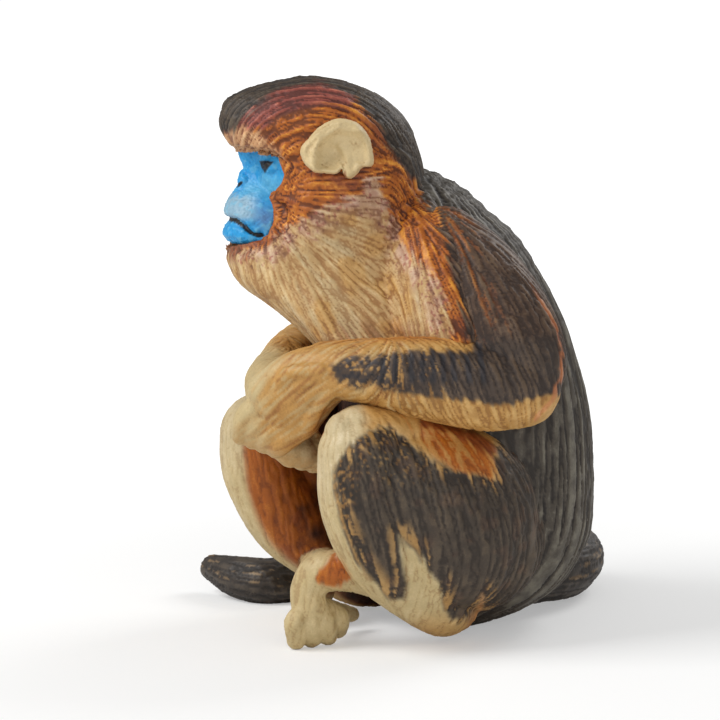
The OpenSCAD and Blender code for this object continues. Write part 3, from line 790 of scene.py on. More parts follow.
def head_flow(points):
    """Arcs from the brow over the crown to the nape, rays back from the face, then straight down the cape"""
    f, z = -points[:, 1], points[:, 2]
    arc_f, arc_z = f - CROWN_CENTRE[0], z - CROWN_CENTRE[1]
    arcs = unit(np.stack((0 * f, arc_z, arc_f), axis=-1))
    ray_f, ray_z = f - MUZZLE_CENTRE[0], z - MUZZLE_CENTRE[1]
    rays = unit(np.stack((0.5 * points[:, 0], -ray_f, ray_z), axis=-1))
    down = unit(np.stack((0 * f, 0.45 + 0 * f, -1 + 0 * f), axis=-1))
    upper = ramp(-3.5, 2.5, z + 0.25 * np.minimum(f, 0) + 0.5 * np.maximum(f - 6, 0))[:, None]
    rear = ramp(-9, -15, f)[:, None] * ramp(4, -3, z)[:, None]
    rays = rays + (down - rays) * rear
    return rays + (arcs - rays) * upper


# Face: the plane of the eyes, and the muzzle that stands out from it

EYE_DEPTH_SHARE = -0.29
EYE_PLANE_SHARE = (
    (-0.66, 0.20, 0.86, 1.30, 0.40, 1.5),
    (-0.52, 0.10, 0.86, 1.30, 0.48, 1.4),
    (-0.37, 0.04, 0.86, 1.30, 0.54, 1.35),
    (-0.22, 0.00, 0.86, 1.30, 0.575, 1.35),
    (-0.07, -0.02, 0.86, 1.30, 0.58, 1.35),
    (0.08, -0.05, 0.86, 1.30, 0.56, 1.40),
    (0.20, 0.00, 0.86, 1.30, 0.50, 1.5),
)
MUZZLE_SHARE = (
    (-0.905, 0.05, 0.45, 0.90, 0.22, 2.0),
    (-0.890, -0.20, 0.38, 0.90, 0.34, 2.2),
    (-0.855, -0.37, 0.32, 0.95, 0.43, 2.3),
    (-0.810, -0.43, 0.29, 0.95, 0.475, 2.3),
    (-0.765, -0.455, 0.28, 0.95, 0.49, 2.4),
    (-0.71, -0.41, 0.28, 0.95, 0.49, 2.4),
    (-0.66, -0.36, 0.28, 0.95, 0.49, 2.4),
    (-0.60, -0.40, 0.28, 0.95, 0.50, 2.4),
    (-0.50, -0.42, 0.28, 0.95, 0.50, 2.3),
    (-0.42, -0.38, 0.28, 0.95, 0.47, 2.2),
    (-0.33, -0.29, 0.28, 0.95, 0.40, 2.0),
    (-0.26, -0.22, 0.25, 0.95, 0.31, 1.9),
    (-0.20, -0.17, 0.25, 0.95, 0.23, 1.9),
    (-0.13, -0.13, 0.25, 0.95, 0.18, 2.0),
    (-0.06, -0.12, 0.25, 0.95, 0.16, 2.0),
    (0.03, -0.18, 0.25, 0.95, 0.17, 2.0),
    (0.10, -0.20, 0.25, 0.95, 0.18, 2.0),
    (0.18, -0.20, 0.25, 0.95, 0.20, 2.0),
)
EYE_EDGE = ((7.5, -0.15), (6.6, -0.05), (5.4, -0.25), (6.1, -1.1), (6.7, -1.95), (7.2, -1.2))
MOUTH_LINE = ((16, -8.7), (12.0, -8.7), (10.9, -9.0), (10.0, -9.6), (9.1, -10.5), (8.2, -11.0),
              (7.2, -11.15))
# To the side, forward and up from the head's centre, as are the places of the dents
NOSTRIL = (1.9, 10.45, -3.35)
# Place, radii and depth: nostril, inner corner of the eye, fold beside the nose, hollow below the cheek, and
# the cheek, which stands out
FACE_DENTS = (
    (NOSTRIL, (0.6, 0.9, 0.75), 0.75),
    ((2.9, 8.0, 0.0), (1.2, 1.6, 1.2), 0.35),
    ((3.3, 8.4, -4.0), (0.9, 1.6, 0.7), 0.3),
    ((5.6, 6.4, -4.5), (0.7, 0.9, 1.1), 0.3),
    ((4.7, 6.6, -2.2), (1.6, 1.6, 0.9), -0.25),
)
# Centre in the head's frame, and radii
NOSE_TIP = ((0, -9.7, -2.2), (1.3, 0.75, 1.0))
NOSE_WING = ((1.2, -9.7, -3.0), (1.2, 1.0, 1.1))
EYELID = ((4.7, -5.1, -0.25), (2.2, 1.9, 1.35))


def dent(skin, place, radii, depth):
    """Moves the skin in by depth * exp(-r^2), r measured in radii from a place and its mirror image"""
    for side in (1, -1):
        away = (skin.points - (side * place[0], -place[1], place[2])) / radii
        skin.points -= skin.normals * (depth * np.exp(-(away ** 2).sum(axis=1)))[:, None]


def ball_form(centre, radii, sides=32):
    """Rings of an ellipsoid: centre + radii * (cos lat cos lon, cos lat sin lon, sin lat)"""
    lat = np.radians(np.linspace(-84, 84, sides // 2))[:, None]
    lon = np.arange(sides) * 2 * math.pi / sides
    ball = np.stack((np.cos(lat) * np.cos(lon), np.cos(lat) * np.sin(lon), np.sin(lat) + 0 * lon), axis=-1)
    return ball * radii + np.asarray(centre, float)


@functools.lru_cache(maxsize=None)
def face_skin():
    """The bare face in the head's frame, with its features pressed in"""
    eyes = level_form(EYE_PLANE_SHARE, size("muzzle_l"), size("face_w"), size("face_h"))
    muzzle = level_form(MUZZLE_SHARE, size("muzzle_l"), size("muzzle_w"), size("face_h"))
    back = (0, EYE_DEPTH_SHARE * size("head_l"), 0)
    pairs = [ball_form(np.multiply(centre, (side, 1, 1)), radii)
             for centre, radii in (NOSE_WING, EYELID) for side in (-1, 1)]
    skin = Skin([eyes + back, muzzle + back, ball_form(*NOSE_TIP), *pairs], voxel=0.15, rounds=10)
    groove = distance_to_line(*head_side(skin.points), MOUTH_LINE)
    skin.points -= skin.normals * (0.55 * bell(groove, 0.42) - 0.18 * bell(groove - 1.0, 0.6))[:, None]
    skin.measure()
    for place, radii, depth in FACE_DENTS:
        dent(skin, place, radii, depth)
    skin.ease(2)
    return skin


# Where one coat passes into the next on the face, forward of and above the head's centre
LIP_TOP, LIP_LOW, LIP_FRONT = (-4.2, -6.0), (-9.4, -8.2), (6.5, 9.5)
NOSE_TOP, NOSE_LOW, NOSE_FRONT = (-2.2, -4.4), (-6.5, -4.2), (10.8, 9.0)
# Middle of the violet jowl, forward and up, and of the painted highlight on the cheek, to the side and up;
# where the eye starts
JOWL, CHEEK_HIGHLIGHT, EYE_START = (6.6, -8.6), (5.0, -2.9), 1.8


def face_piece():
    skin = face_skin().copy()
    x = np.abs(skin.points[:, 0])
    f, z = head_side(skin.points)
    mottle, fine = skin.pit((0.7, 0.28), relief=0.025, shade=0.12, seed=31)
    paint = Paint(skin, "blue")
    # Pale grey-blue on the front of the upper lip: the muzzle's own paint and a painted highlight
    paint.lay(ramp(*LIP_TOP, z + 0.35 * mottle) * ramp(*LIP_LOW, z) * ramp(*LIP_FRONT, f), "muzzle", 0.9)
    paint.lay(ramp(*NOSE_TOP, z) * ramp(*NOSE_LOW, z) * ramp(*NOSE_FRONT, f), "pale_blue", 0.6)
    paint.lay(bell(f - JOWL[0], 1.6) * bell(z - JOWL[1], 1.9), "violet", 0.5)
    # Painted highlight: pale blue on the raised cheek
    paint.lay(bell(x - CHEEK_HIGHLIGHT[0], 1.6) * bell(z - CHEEK_HIGHLIGHT[1], 1.1), "pale_blue", 0.55)
    paint.lay(ramp(0.3, 1.3, mottle + 0.3 * fine), "pale_blue", 0.45)
    mouth = distance_to_line(f, z, MOUTH_LINE)
    paint.lay(ramp(0.42, 0.24, mouth + 0.05 * fine), "ink")
    _, fore, high = (skin.points - (0, -NOSTRIL[1], NOSTRIL[2])).T
    slit = np.stack(((x - NOSTRIL[0]) / 1.4, (0.8 * high - fore) / 0.35, high / 0.6), -1)
    paint.lay(ramp(1.15, 0.85, np.linalg.norm(slit, axis=1)), "ink")
    paint.lay(ramp(-0.12, 0.12, distance_inside(f, z, EYE_EDGE)) * (x > EYE_START), "ink")
    skin.place(to_world(skin.points))
    return painted_mesh(skin, paint)


def nearest_on(skin, points):
    """The nearest place on a skin to each point, by a Shrinkwrap modifier"""
    target = bpy.data.objects.new("target", plain_mesh("target", skin.points, skin.quads.tolist()))
    bpy.context.scene.collection.objects.link(target)
    cloud = bpy.data.meshes.new("cloud")
    cloud.from_pydata(points.tolist(), [], [])
    places, _ = evaluated(cloud, [("SHRINKWRAP", {"target": target, "wrap_method": "NEAREST_SURFACEPOINT"})])
    bpy.data.objects.remove(target)
    return places


# The lip of fur round the bare face, in millimetres: its width and what is added beside the muzzle, how far
# it stands off the face and what is added outside the edge, and how deep the head sinks behind the face
LIP_WIDTH, LIP_WIDER = 1.1, 1.5
LIP_HEIGHT, LIP_RISE, RECESS_DEPTH = 0.24, 0.16, 3.2
MUZZLE_TOP, MUZZLE_LOW = (0.3, -1.5), (-12.0, -10.5)


def head_skin():
    """The head, with a lip on the bare face and sunk behind it, and how far each point is inside the edge"""
    drape = level_form(DRAPE_SHARE, size("torso_d"), size("torso_w"), size("torso_h"))
    skin = Skin([level_form(head_rows(), 1, 1, 1, sides=200), to_head(drape)], voxel=0.28, rounds=4)
    f, z = head_side(skin.points)
    near = np.flatnonzero((distance_inside(f, z, FACE_EDGE) > -3) & (f > 1))
    band = LIP_WIDTH + LIP_WIDER * ramp(*MUZZLE_TOP, z[near]) * ramp(*MUZZLE_LOW, z[near])
    outward = skin.normals[near]
    for _ in range(3):
        lip = distance_inside(*head_side(skin.points[near]), FACE_EDGE)
        gap = ((skin.points[near] - nearest_on(face_skin(), skin.points[near])) * outward).sum(axis=1)
        gap -= LIP_HEIGHT + LIP_RISE * ramp(0.0, -0.8, lip)
        skin.points[near] -= outward * (gap * ramp(-band, -0.2, lip) * ramp(1.2, 0.2, lip))[:, None]
    lip = distance_inside(*head_side(skin.points[near]), FACE_EDGE)
    skin.points[near] -= outward * (RECESS_DEPTH * ramp(-0.1, 0.8, lip))[:, None]
    skin.ease(1)
    edge = np.full(len(f), -np.inf)
    edge[near] = lip
    return skin, edge


# How far inside the bib its mauve rim and its specks end and its middle starts
BIB_RIM, SPECK_RIM, BIB_HEART = (4.2, 1.0), (4.4, 1.8), (1.0, 3.0)
# Where one coat passes into the next on the head, forward of and above its centre
BIB_SHADE, HEM_TOP, HEM_FRONT, NAPE_TOP = (-9.5, -6.0), (-22.5, -25.5), (-1, -4), (-5, -9)
CHIN_SHADE, RECESS_SHADE = (-10.8, -12.0), (-11.6, -10.6)


def head_piece():
    skin, edge = head_skin()
    depth = 0.26 - 0.12 * ramp(-0.5, 1.5, distance_inside(*mane_side(skin.points), BIB_EDGE))
    skin.carve(head_flow, depth * ramp(0.0, -0.7, edge), 0.52, reach=4.5, tuft=0.06, width=0.75, seed=21)
    f, z = mane_side(skin.points)
    rough = 0.3 * skin.ragged
    blot, speck, tufts = noise(skin.points, 1.6, 23), noise(skin.points, 0.42, 27), skin.tufts
    bib = distance_inside(f, z, BIB_EDGE) + rough
    cap = distance_inside(f, z, CAP_EDGE) + rough

    paint = Paint(skin, "orange")
    paint.lay(ramp(0.4, 1.6, noise(skin.points, 2.6, 24) + 0.5 * tufts), "rust", 0.7)
    paint.lay(ramp(-0.5, 0.5, distance_inside(f, z, CROWN_EDGE) + rough), "crown")
    paint.lay(ramp(-0.6, 0.5, distance_inside(f, z, BROW_EDGE) + rough), "brow", 0.9)

    cream, heart = ramp(-0.4, 0.6, bib), ramp(*BIB_HEART, bib)
    paint.lay(cream, "bib")
    paint.lay(cream * ramp(*BIB_RIM, bib) * ramp(-0.8, 0.4, blot), "mauve", 0.75)
    paint.lay(cream * ramp(*BIB_SHADE, z), "mauve", 0.6)
    paint.lay(ramp(-1.0, 0.2, bib) * ramp(*SPECK_RIM, bib) * ramp(0.6, 1.0, speck), "crown", 0.8)
    paint.lay(heart * ramp(0.3, 1.4, noise(skin.points, 3.2, 25) + 0.4 * tufts), "ochre", 0.7)
    paint.lay(heart * ramp(0.6, 1.6, -tufts), "chalk", 0.45)
    hem = ramp(*HEM_TOP, z) * ramp(*HEM_FRONT, f) * ramp(0.0, 1.5, bib)
    paint.lay(hem * ramp(-0.6, 0.6, skin.ragged), "rust", 0.5)
    paint.lay(ramp(-2.6, -0.8, edge + 0.7 * skin.ragged) * ramp(*CHIN_SHADE, z), "rust", 0.8)

    # Painted shadow below the ear, laid in the rust coat
    ear_shadow = ramp(1.3, 0.6, distance_to_line(f, z, EAR_SHADE) + 0.2 * blot)
    paint.lay(ear_shadow * ramp(-0.4, 0.4, -cap), "rust", 0.9)
    dark = ramp(-0.5, 0.6, cap)
    paint.lay(dark, "cap")
    paint.lay(dark * ramp(*NAPE_TOP, z), "shoulder")
    paint.lay(ramp(0.1, 0.5, edge) * ramp(*RECESS_SHADE, z), "blue", 0.7)
    skin.place(to_world(skin.points))
    return painted_mesh(skin, paint)


# Ears

EAR_CENTRE = (-3.6, 2.2)
EAR_LIFT = 0.95
EAR_TRIM = 0.965
EAR_EDGE = ((1.62, 1.18), (1.3, 2.2), (0.44, 3.1), (-1.18, 4.87), (-3.84, 6.2), (-6.5, 5.76),
            (-7.98, 4.58), (-8.86, 2.95), (-9.3, 0.74), (-9.1, -0.8), (-7.68, -1.03), (-6.94, -1.92),
            (-5.91, -2.66), (-4.95, -2.2), (-4.73, -1.03), (-4.3, -1.5), (-3.6, -2.0), (-2.07, -1.85),
            (-0.59, -1.7), (0.9, -0.5))
EAR_HELIX = ((-0.6, -1.0), (-0.5, 1.4), (-1.6, 3.6), (-4.2, 5.0), (-7.0, 4.4))
EAR_FOLD = ((-5.4, -2.0), (-5.3, 0.4), (-4.4, 2.2))
EAR_BOWL, EAR_BOWL_RADII = (-3.6, 1.2), (1.9, 1.7)
# How far to the side the root lies, how far back the ear is set, and from where it curves with the head
EAR_ROOT, EAR_SETBACK, EAR_MIDDLE = 11.05, 0.35, (-3.9, 1.0)
EAR_SIDES, EAR_FRONT_RINGS, EAR_REAR_RINGS = 220, 60, 25
# Share of the outline from which the front turns over into the rim
EAR_TURN = 0.86


def ear_outline():
    """The ear's outline from its centre, in even steps along its smoothed corners"""
    edge = smooth_rows(np.vstack((EAR_EDGE, EAR_EDGE[:1])), 12) - EAR_CENTRE
    at = np.linspace(0, len(edge) - 1, EAR_SIDES, endpoint=False)
    return [np.interp(at, np.arange(len(edge)), column) for column in edge.T]


def ear_grid(side):
    """An ear from the bowl's middle out to the rim, round it and back to the root; its height is a sum of
    bells exp(-(d / w)^2) of the distance d to the rim, the helix, the bowl and the fold"""
    across, up = ear_outline()
    share = np.concatenate((np.linspace(0.02, 1, EAR_FRONT_RINGS),
                            np.linspace(1.0, 0.35, EAR_REAR_RINGS + 1)[1:]))[:, None]
    f = EAR_CENTRE[0] + across * share * EAR_TRIM
    z = EAR_CENTRE[1] + up * share * EAR_TRIM
    helix, fold = (bell(distance_to_line(f.ravel(), z.ravel(), line).reshape(f.shape), width)
                   for line, width in ((EAR_HELIX, 0.75), (EAR_FOLD, 0.6)))
    bowl = bell(np.hypot((f - EAR_BOWL[0]) / EAR_BOWL_RADII[0], (z - EAR_BOWL[1]) / EAR_BOWL_RADII[1]), 1.0)
    rim = bell(share - 0.88, 0.10)
    turned = 1 - np.sqrt(1 - np.clip((share - EAR_TURN) / (1 - EAR_TURN), 0, 1) ** 2)
    front = 0.46 + 0.18 * rim + 0.34 * helix - 0.42 * bowl + 0.16 * fold - 0.24 * turned
    rear = 0.28 - 1.1 * (1 - share) ** 0.8
    height = size("ear_t") * np.where(np.arange(len(share))[:, None] < EAR_FRONT_RINGS, front, rear)
    ahead, above = f - EAR_MIDDLE[0], z - EAR_MIDDLE[1]
    curve = 0.012 * ahead ** 2 * np.where(ahead < 0, 1, 1.6) + 0.02 * above ** 2
    return np.stack((side * (EAR_ROOT + height - curve), -f - EAR_SETBACK, z + EAR_LIFT), axis=-1)


def ear_piece(side):
    skin = Skin([ear_grid(side)], voxel=0.15, rounds=5)
    skin.pit((1.3, 0.3), relief=0.02, shade=0.08, seed=71)
    f, z = -skin.points[:, 1], skin.points[:, 2] - EAR_LIFT
    paint = Paint(skin, "ear")
    paint.lay(ramp(-0.1, 0.25, -distance_inside(f, z, EAR_EDGE)) * ramp(-0.6, -1.2, z), "rust", 0.8)
    skin.place(to_world(skin.points))
    return painted_mesh(skin, paint)


# Arms

LEFT_UPPER_ARM = (
    (0.28, -0.10, 0.87, 0.32, 0.40),
    (0.39, -0.05, 0.80, 0.40, 0.54),
    (0.49, 0.02, 0.70, 0.44, 0.60),
    (0.535, 0.075, 0.61, 0.42, 0.57),
    (0.540, 0.055, 0.585, 0.34, 0.44),
)
LEFT_FOREARM = (
    (0.545, 0.10, 0.565, 0.38, 0.46),
    (0.56, -0.06, 0.570, 0.38, 0.49),
    (0.51, -0.27, 0.590, 0.36, 0.46),
    (0.42, -0.44, 0.604, 0.33, 0.37),
    (0.30, -0.575, 0.605, 0.31, 0.31),
)
LEFT_PALM = (
    (0.32, -0.56, 0.605, 0.46, 0.40),
    (0.25, -0.63, 0.572, 0.60, 0.36),
    (0.175, -0.695, 0.520, 0.68, 0.34),
)
LEFT_TENDONS = (
    ((0.374, -0.63, 0.612, 0.28, 0.28), (0.281, -0.714, 0.6, 0.3, 0.3), (0.187, -0.724, 0.546, 0.42, 0.42)),
    ((0.391, -0.585, 0.577, 0.28, 0.28), (0.316, -0.62, 0.527, 0.3, 0.3), (0.257, -0.63, 0.488, 0.42, 0.42)),
)
LEFT_HAND_SPREAD = (0.105, 0.208, -0.109)
LEFT_FINGERS = (
    ((0.175, -0.715, 0.548, 0.5, 0.5), (0.085, -0.782, 0.5, 0.52, 0.52), (0.02, -0.778, 0.452, 0.44, 0.44)),
    ((0.245, -0.62, 0.49, 0.5, 0.5), (0.167, -0.684, 0.447, 0.52, 0.52), (0.093, -0.674, 0.425, 0.44, 0.44)),
)
RIGHT_FOREARM = (
    (-0.545, 0.10, 0.565, 0.38, 0.46),
    (-0.56, -0.06, 0.570, 0.38, 0.49),
    (-0.49, -0.24, 0.575, 0.34, 0.41),
    (-0.37, -0.39, 0.570, 0.31, 0.32),
    (-0.22, -0.51, 0.560, 0.29, 0.28),
)
RIGHT_PALM = (
    (-0.22, -0.52, 0.560, 0.42, 0.36),
    (-0.10, -0.582, 0.541, 0.52, 0.38),
    (0.00, -0.61, 0.495, 0.54, 0.36),
)
RIGHT_FINGERS = (
    ((0.02, -0.7, 0.5, 0.5, 0.5), (0.09, -0.69, 0.45, 0.54, 0.54), (0.085, -0.615, 0.405, 0.5, 0.5)),
    ((0.03, -0.52, 0.44, 0.5, 0.5), (0.11, -0.52, 0.405, 0.54, 0.54), (0.09, -0.47, 0.38, 0.5, 0.5)),
)
FINGER_COUNT = 4

# Outlines on the photographed side, in millimetres
SLEEVE_EDGE = ((-14.9, 37.5), (-12.6, 38.7), (-8.6, 38.8), (-4.4, 39.4), (0, 39.7), (3.7, 39.6),
               (6.3, 39.6), (6.5, 41.5), (5.2, 45.2), (3.7, 50), (2.2, 56), (0, 64), (40, 64), (40, 34),
               (17.4, 33), (14.8, 32.3), (10.3, 31.6), (7.4, 31.9), (3, 32.6), (-0.7, 32.8), (-4.4, 33.4),
               (-8.6, 34.3), (-11, 34.1), (-14, 34.9))
# On the left hand: the ivory fingers together with a painted highlight on the knuckle ridge above them
FINGERS_AND_HIGHLIGHT_EDGE = ((-22.6, 38.2), (-24.4, 35.8), (-25.3, 32.8), (-25.0, 31.0), (-25.3, 27.5), (-24.4, 24.4),
                (-21.5, 23.2), (-31, 22), (-31, 36), (-25.0, 39))
ELBOW_HIGHLIGHT_LINE = ((14.6, 50.0), (16.2, 47.1), (18.6, 42.7), (19.4, 39.7), (19.2, 36), (18, 32.3), (15.5, 29.6))
SLEEVE_STRIPES = (-6.9, -5.1, -2.7, -1.1, 0.4, 1.9, 3.4, 5.5, 7.6)


def mirrored(rows):
    return np.asarray(rows, float) * (-1, 1, 1, 1, 1)


def arm_flow(points):
    """Down the upper arm and over the forearm, turning along the hand towards the fingers"""
    hand = ramp(-14, -22, points[:, 1])
    inward = -0.3 * np.sign(points[:, 0]) * hand
    return unit(np.stack((inward, 0.35 - 1.1 * hand, -1 + 0.25 * hand), axis=-1))


# Where one coat passes into the next on the arm: forward (negative), then on the photographed side
WRIST, RIGHT_KNUCKLES, RIGHT_SLEEVE_END = (-17, -25), (-19, -23), (-12, -17)
HAND_LIGHTS, HAND_STROKES = (-11, -16), (-12, -18)
SLEEVE_TOP, STRIPE_LOW = (40, 43), (34.2, 35.4)
GOLD_STROKES, GOLD_SPECKS, INDIGO_END = (6, 1), (-3, -7), (-5, -8)
# How far the stripes fan out for each millimetre from their middle and each millimetre below their top
STRIPE_FAN, STRIPE_MIDDLE, STRIPE_TOP = 0.015, -2, 38


def arm_piece(side, forms, seed):
    skin = Skin(forms, voxel=0.29, rounds=8)
    u, v = side_plane(skin.points)
    y = skin.points[:, 1]
    hand, upper = ramp(*WRIST, y), ramp(*SLEEVE_TOP, v)
    skin.carve(arm_flow, 0.22 * (1 - 0.7 * hand), 0.72, reach=6.0, tuft=0.06 * (1 - hand), seed=seed)
    comb = skin.combed(arm_flow, 0.5, 3.0, seed + 5)
    blot, speck = noise(skin.points, 0.9, seed + 6), noise(skin.points, 0.5, seed + 7)

    paint = Paint(skin, "ochre")
    # Ivory on the left fingers and, above them, a painted highlight on the knuckle ridge
    fingers_and_highlight = ramp(-1.4, 1.4, distance_inside(u, v, FINGERS_AND_HIGHLIGHT_EDGE) + 0.5 * skin.ragged)
    fingers = fingers_and_highlight if side > 0 else ramp(*RIGHT_KNUCKLES, y)
    paint.lay(fingers, "ivory")
    paint.lay(fingers * ramp(-0.1, -0.6, skin.normals[:, 2]), "ochre", 0.6)
    paint.lay(ramp(*HAND_LIGHTS, y) * ramp(0.2, 1.4, comb), "ivory", 0.55)
    paint.lay(ramp(*HAND_STROKES, y) * ramp(0.9, 1.7, -comb) * (1 - fingers), "rust", 0.45)
    paint.lay(upper, "orange")

    sleeve = distance_inside(u, v, SLEEVE_EDGE) + 0.22 * skin.ragged
    if side < 0:
        sleeve = sleeve - 9 * ramp(*RIGHT_SLEEVE_END, y)
    dark = ramp(-0.4, 0.4, sleeve)
    paint.lay(dark, "sleeve")
    paint.lay(dark * (1 - upper) * ramp(1.0, 1.6, comb) * ramp(*GOLD_STROKES, u), "ochre", 0.7)
    paint.lay(dark * (1 - upper) * ramp(0.3, 0.9, speck) * ramp(*GOLD_SPECKS, u), "ochre", 0.75)
    fanned = u - STRIPE_FAN * (u - STRIPE_MIDDLE) * (STRIPE_TOP - v)
    stripe = np.abs(fanned[:, None] - SLEEVE_STRIPES).min(axis=1) + 0.06 * blot
    paint.lay(ramp(0.5, 0.3, stripe) * ramp(0, 0.8, sleeve) * ramp(*STRIPE_LOW, v) * (1 - upper), "indigo")
    front = ramp(*INDIGO_END, u) * ramp(0.3, 1.2, sleeve) * (1 - upper)
    paint.lay(front * ramp(-0.3, 0.5, blot), "indigo", 0.9)

    paint.lay(dark * upper, "shoulder")
    paint.lay(dark * upper * ramp(7.5, 1.5, sleeve) * ramp(0.3, 1.1, -comb), "orange", 0.55)
    # Light orange line along the elbow's back edge: a fringe of fur paint and a painted highlight
    rear = distance_to_line(u, v, ELBOW_HIGHLIGHT_LINE) + 0.1 * skin.ragged + 0.06 * blot
    paint.lay(ramp(0.36, 0.10, rear) * ramp(51, 46, v), "rim", 0.65)
    return painted_mesh(skin, paint)


def left_arm_forms():
    spread = np.array(LEFT_HAND_SPREAD) * seat_size()
    return [
        limb_form(LEFT_UPPER_ARM, "upper_arm_w"),
        limb_form(LEFT_FOREARM, "forearm_w"),
        limb_form(LEFT_PALM, "hand_w", spread),
        *digit_forms(*LEFT_TENDONS, FINGER_COUNT, "finger_d"),
        *digit_forms(*LEFT_FINGERS, FINGER_COUNT, "finger_d"),
    ]


def right_arm_forms():
    return [
        limb_form(mirrored(LEFT_UPPER_ARM), "upper_arm_w"),
        limb_form(RIGHT_FOREARM, "forearm_w"),
        limb_form(RIGHT_PALM, "hand_w", (0, 1, 0)),
        *digit_forms(*RIGHT_FINGERS, FINGER_COUNT, "finger_d"),
    ]


# Legs

LEFT_THIGH = (
    (0.36, 0.06, 0.20, 0.26, 0.34),
    (0.40, -0.06, 0.25, 0.30, 0.45),
    (0.42, -0.22, 0.315, 0.28, 0.44),
    (0.42, -0.39, 0.385, 0.23, 0.33),
    (0.415, -0.465, 0.42, 0.19, 0.215),
)
# The fur between the knee and the forearm that lies on it
LEFT_KNEE_FUR = (
    (0.45, -0.16, 0.440, 0.13, 0.11),
    (0.44, -0.30, 0.464, 0.13, 0.12),
    (0.43, -0.42, 0.480, 0.13, 0.12),
    (0.42, -0.51, 0.484, 0.12, 0.12),
    (0.415, -0.56, 0.480, 0.10, 0.10),
)
LEFT_SHIN = (
    (0.415, -0.495, 0.430, 0.48, 0.48),
    (0.405, -0.475, 0.330, 0.52, 0.50),
    (0.385, -0.380, 0.225, 0.52, 0.52),
    (0.365, -0.260, 0.145, 0.48, 0.44),
    (0.345, -0.135, 0.083, 0.39, 0.35),
    (0.325, -0.075, 0.070, 0.29, 0.27),
)
LEFT_FOOT = (
    (0.340, -0.125, 0.088, 0.38, 0.38),
    (0.330, -0.300, 0.140, 0.36, 0.38),
    (0.270, -0.450, 0.165, 0.34, 0.34),
    (0.210, -0.550, 0.162, 0.32, 0.33),
    (0.180, -0.590, 0.125, 0.30, 0.28),
    (0.190, -0.590, 0.085, 0.32, 0.28),
)
LEFT_TOES = (
    ((0.192, -0.609, 0.083, 0.48, 0.48), (0.208, -0.653, 0.06, 0.6, 0.6), (0.195, -0.645, 0.02, 0.5, 0.5)),
    ((0.215, -0.55, 0.08, 0.48, 0.48), (0.22, -0.545, 0.056, 0.6, 0.6), (0.195, -0.52, 0.022, 0.5, 0.5)),
)
LEFT_INNER_TOE = (
    (0.195, -0.545, 0.085, 0.55, 0.55),
    (0.190, -0.485, 0.060, 0.66, 0.66),
    (0.160, -0.460, 0.030, 0.50, 0.50),
)
LEFT_BIG_TOE = (
    (0.140, -0.545, 0.085, 0.50, 0.50),
    (0.060, -0.440, 0.060, 0.48, 0.48),
    (0.030, -0.340, 0.040, 0.44, 0.44),
)
RIGHT_THIGH = (
    (-0.36, 0.06, 0.20, 0.26, 0.34),
    (-0.40, -0.06, 0.25, 0.30, 0.45),
    (-0.42, -0.22, 0.305, 0.28, 0.43),
    (-0.42, -0.39, 0.375, 0.23, 0.31),
    (-0.415, -0.455, 0.400, 0.19, 0.215),
)
RIGHT_SHIN = (
    (-0.415, -0.490, 0.405, 0.48, 0.48),
    (-0.405, -0.475, 0.320, 0.52, 0.50),
    (-0.385, -0.375, 0.220, 0.52, 0.52),
    (-0.365, -0.255, 0.145, 0.48, 0.44),
    (-0.345, -0.130, 0.080, 0.42, 0.38),
    (-0.325, -0.065, 0.064, 0.34, 0.32),
)
RIGHT_FOOT = (
    (-0.350, -0.120, 0.085, 0.40, 0.42),
    (-0.300, -0.230, 0.110, 0.36, 0.38),
    (-0.240, -0.310, 0.120, 0.34, 0.36),
    (-0.190, -0.370, 0.105, 0.38, 0.32),
    (-0.165, -0.395, 0.075, 0.42, 0.30),
)
RIGHT_TOES = (
    ((-0.12, -0.41, 0.07, 0.48, 0.48), (-0.09, -0.44, 0.045, 0.56, 0.56),
     (-0.085, -0.445, 0.02, 0.46, 0.46)),
    ((-0.215, -0.39, 0.07, 0.48, 0.48), (-0.2, -0.42, 0.045, 0.56, 0.56),
     (-0.195, -0.425, 0.02, 0.46, 0.46)),
)
LEFT_TOE_COUNT, RIGHT_TOE_COUNT = 3, 4

THIGH_EDGE = ((-8.1, 28.2), (-11.4, 26), (-13.4, 23.7), (-14.1, 21.7), (-13.9, 18.6), (-12.8, 14.2),
              (-10.9, 8.9), (-8.1, 5.2), (-5.8, 2.8), (-3.8, 2.8), (-3.4, 5.2), (-4.3, 12.3), (-1.9, 10.3),
              (0.3, 6.1), (1.2, 5.4), (2.5, 0.5), (2.9, -0.4), (4.4, -0.6), (5.9, 0.3), (7.0, 1.8),
              (7.8, 3.6), (8.2, -3), (25, -3), (25, 34), (9.6, 29.5), (9.6, 20.8), (7.4, 21.4), (3.7, 22),
              (1.3, 23), (-2.1, 25.8), (-6.2, 28.7))
TUFT_EDGE = ((-1.2, 29.4), (2.2, 28.8), (5.9, 27.6), (8.9, 26.4), (9.3, 24.2), (9.6, 20.5), (7.4, 21.4),
             (3.7, 22), (1, 24.2), (-1.5, 26.4))
KNEE_TOP = ((-9.6, 34), (1, 34), (1, 30.2), (-2, 29.0), (-5, 29.0), (-7.5, 29.4), (-9.0, 31.0))
# Line along the tuft's upper edge, where rust fur paint and painted shade are laid
TUFT_ROOT_SHADE_LINE = ((-0.6, 29.0), (2.2, 28.4), (5.9, 27.0), (8.8, 25.2))
INSTEP_EDGE = ((-17.5, 5.9), (-15.3, 8.0), (-14.0, 9.8), (-12.6, 8.0), (-11.7, 6.0), (-13.3, 4.8),
               (-15.7, 5.1))


def leg_flow(points):
    """Down the thigh and the shin, leaning forward below the knee"""
    low = 1 - ramp(4, 20, points[:, 2])
    return unit(np.stack((0 * low, 0.25 - 0.5 * low, -1 + 0 * low), axis=-1))


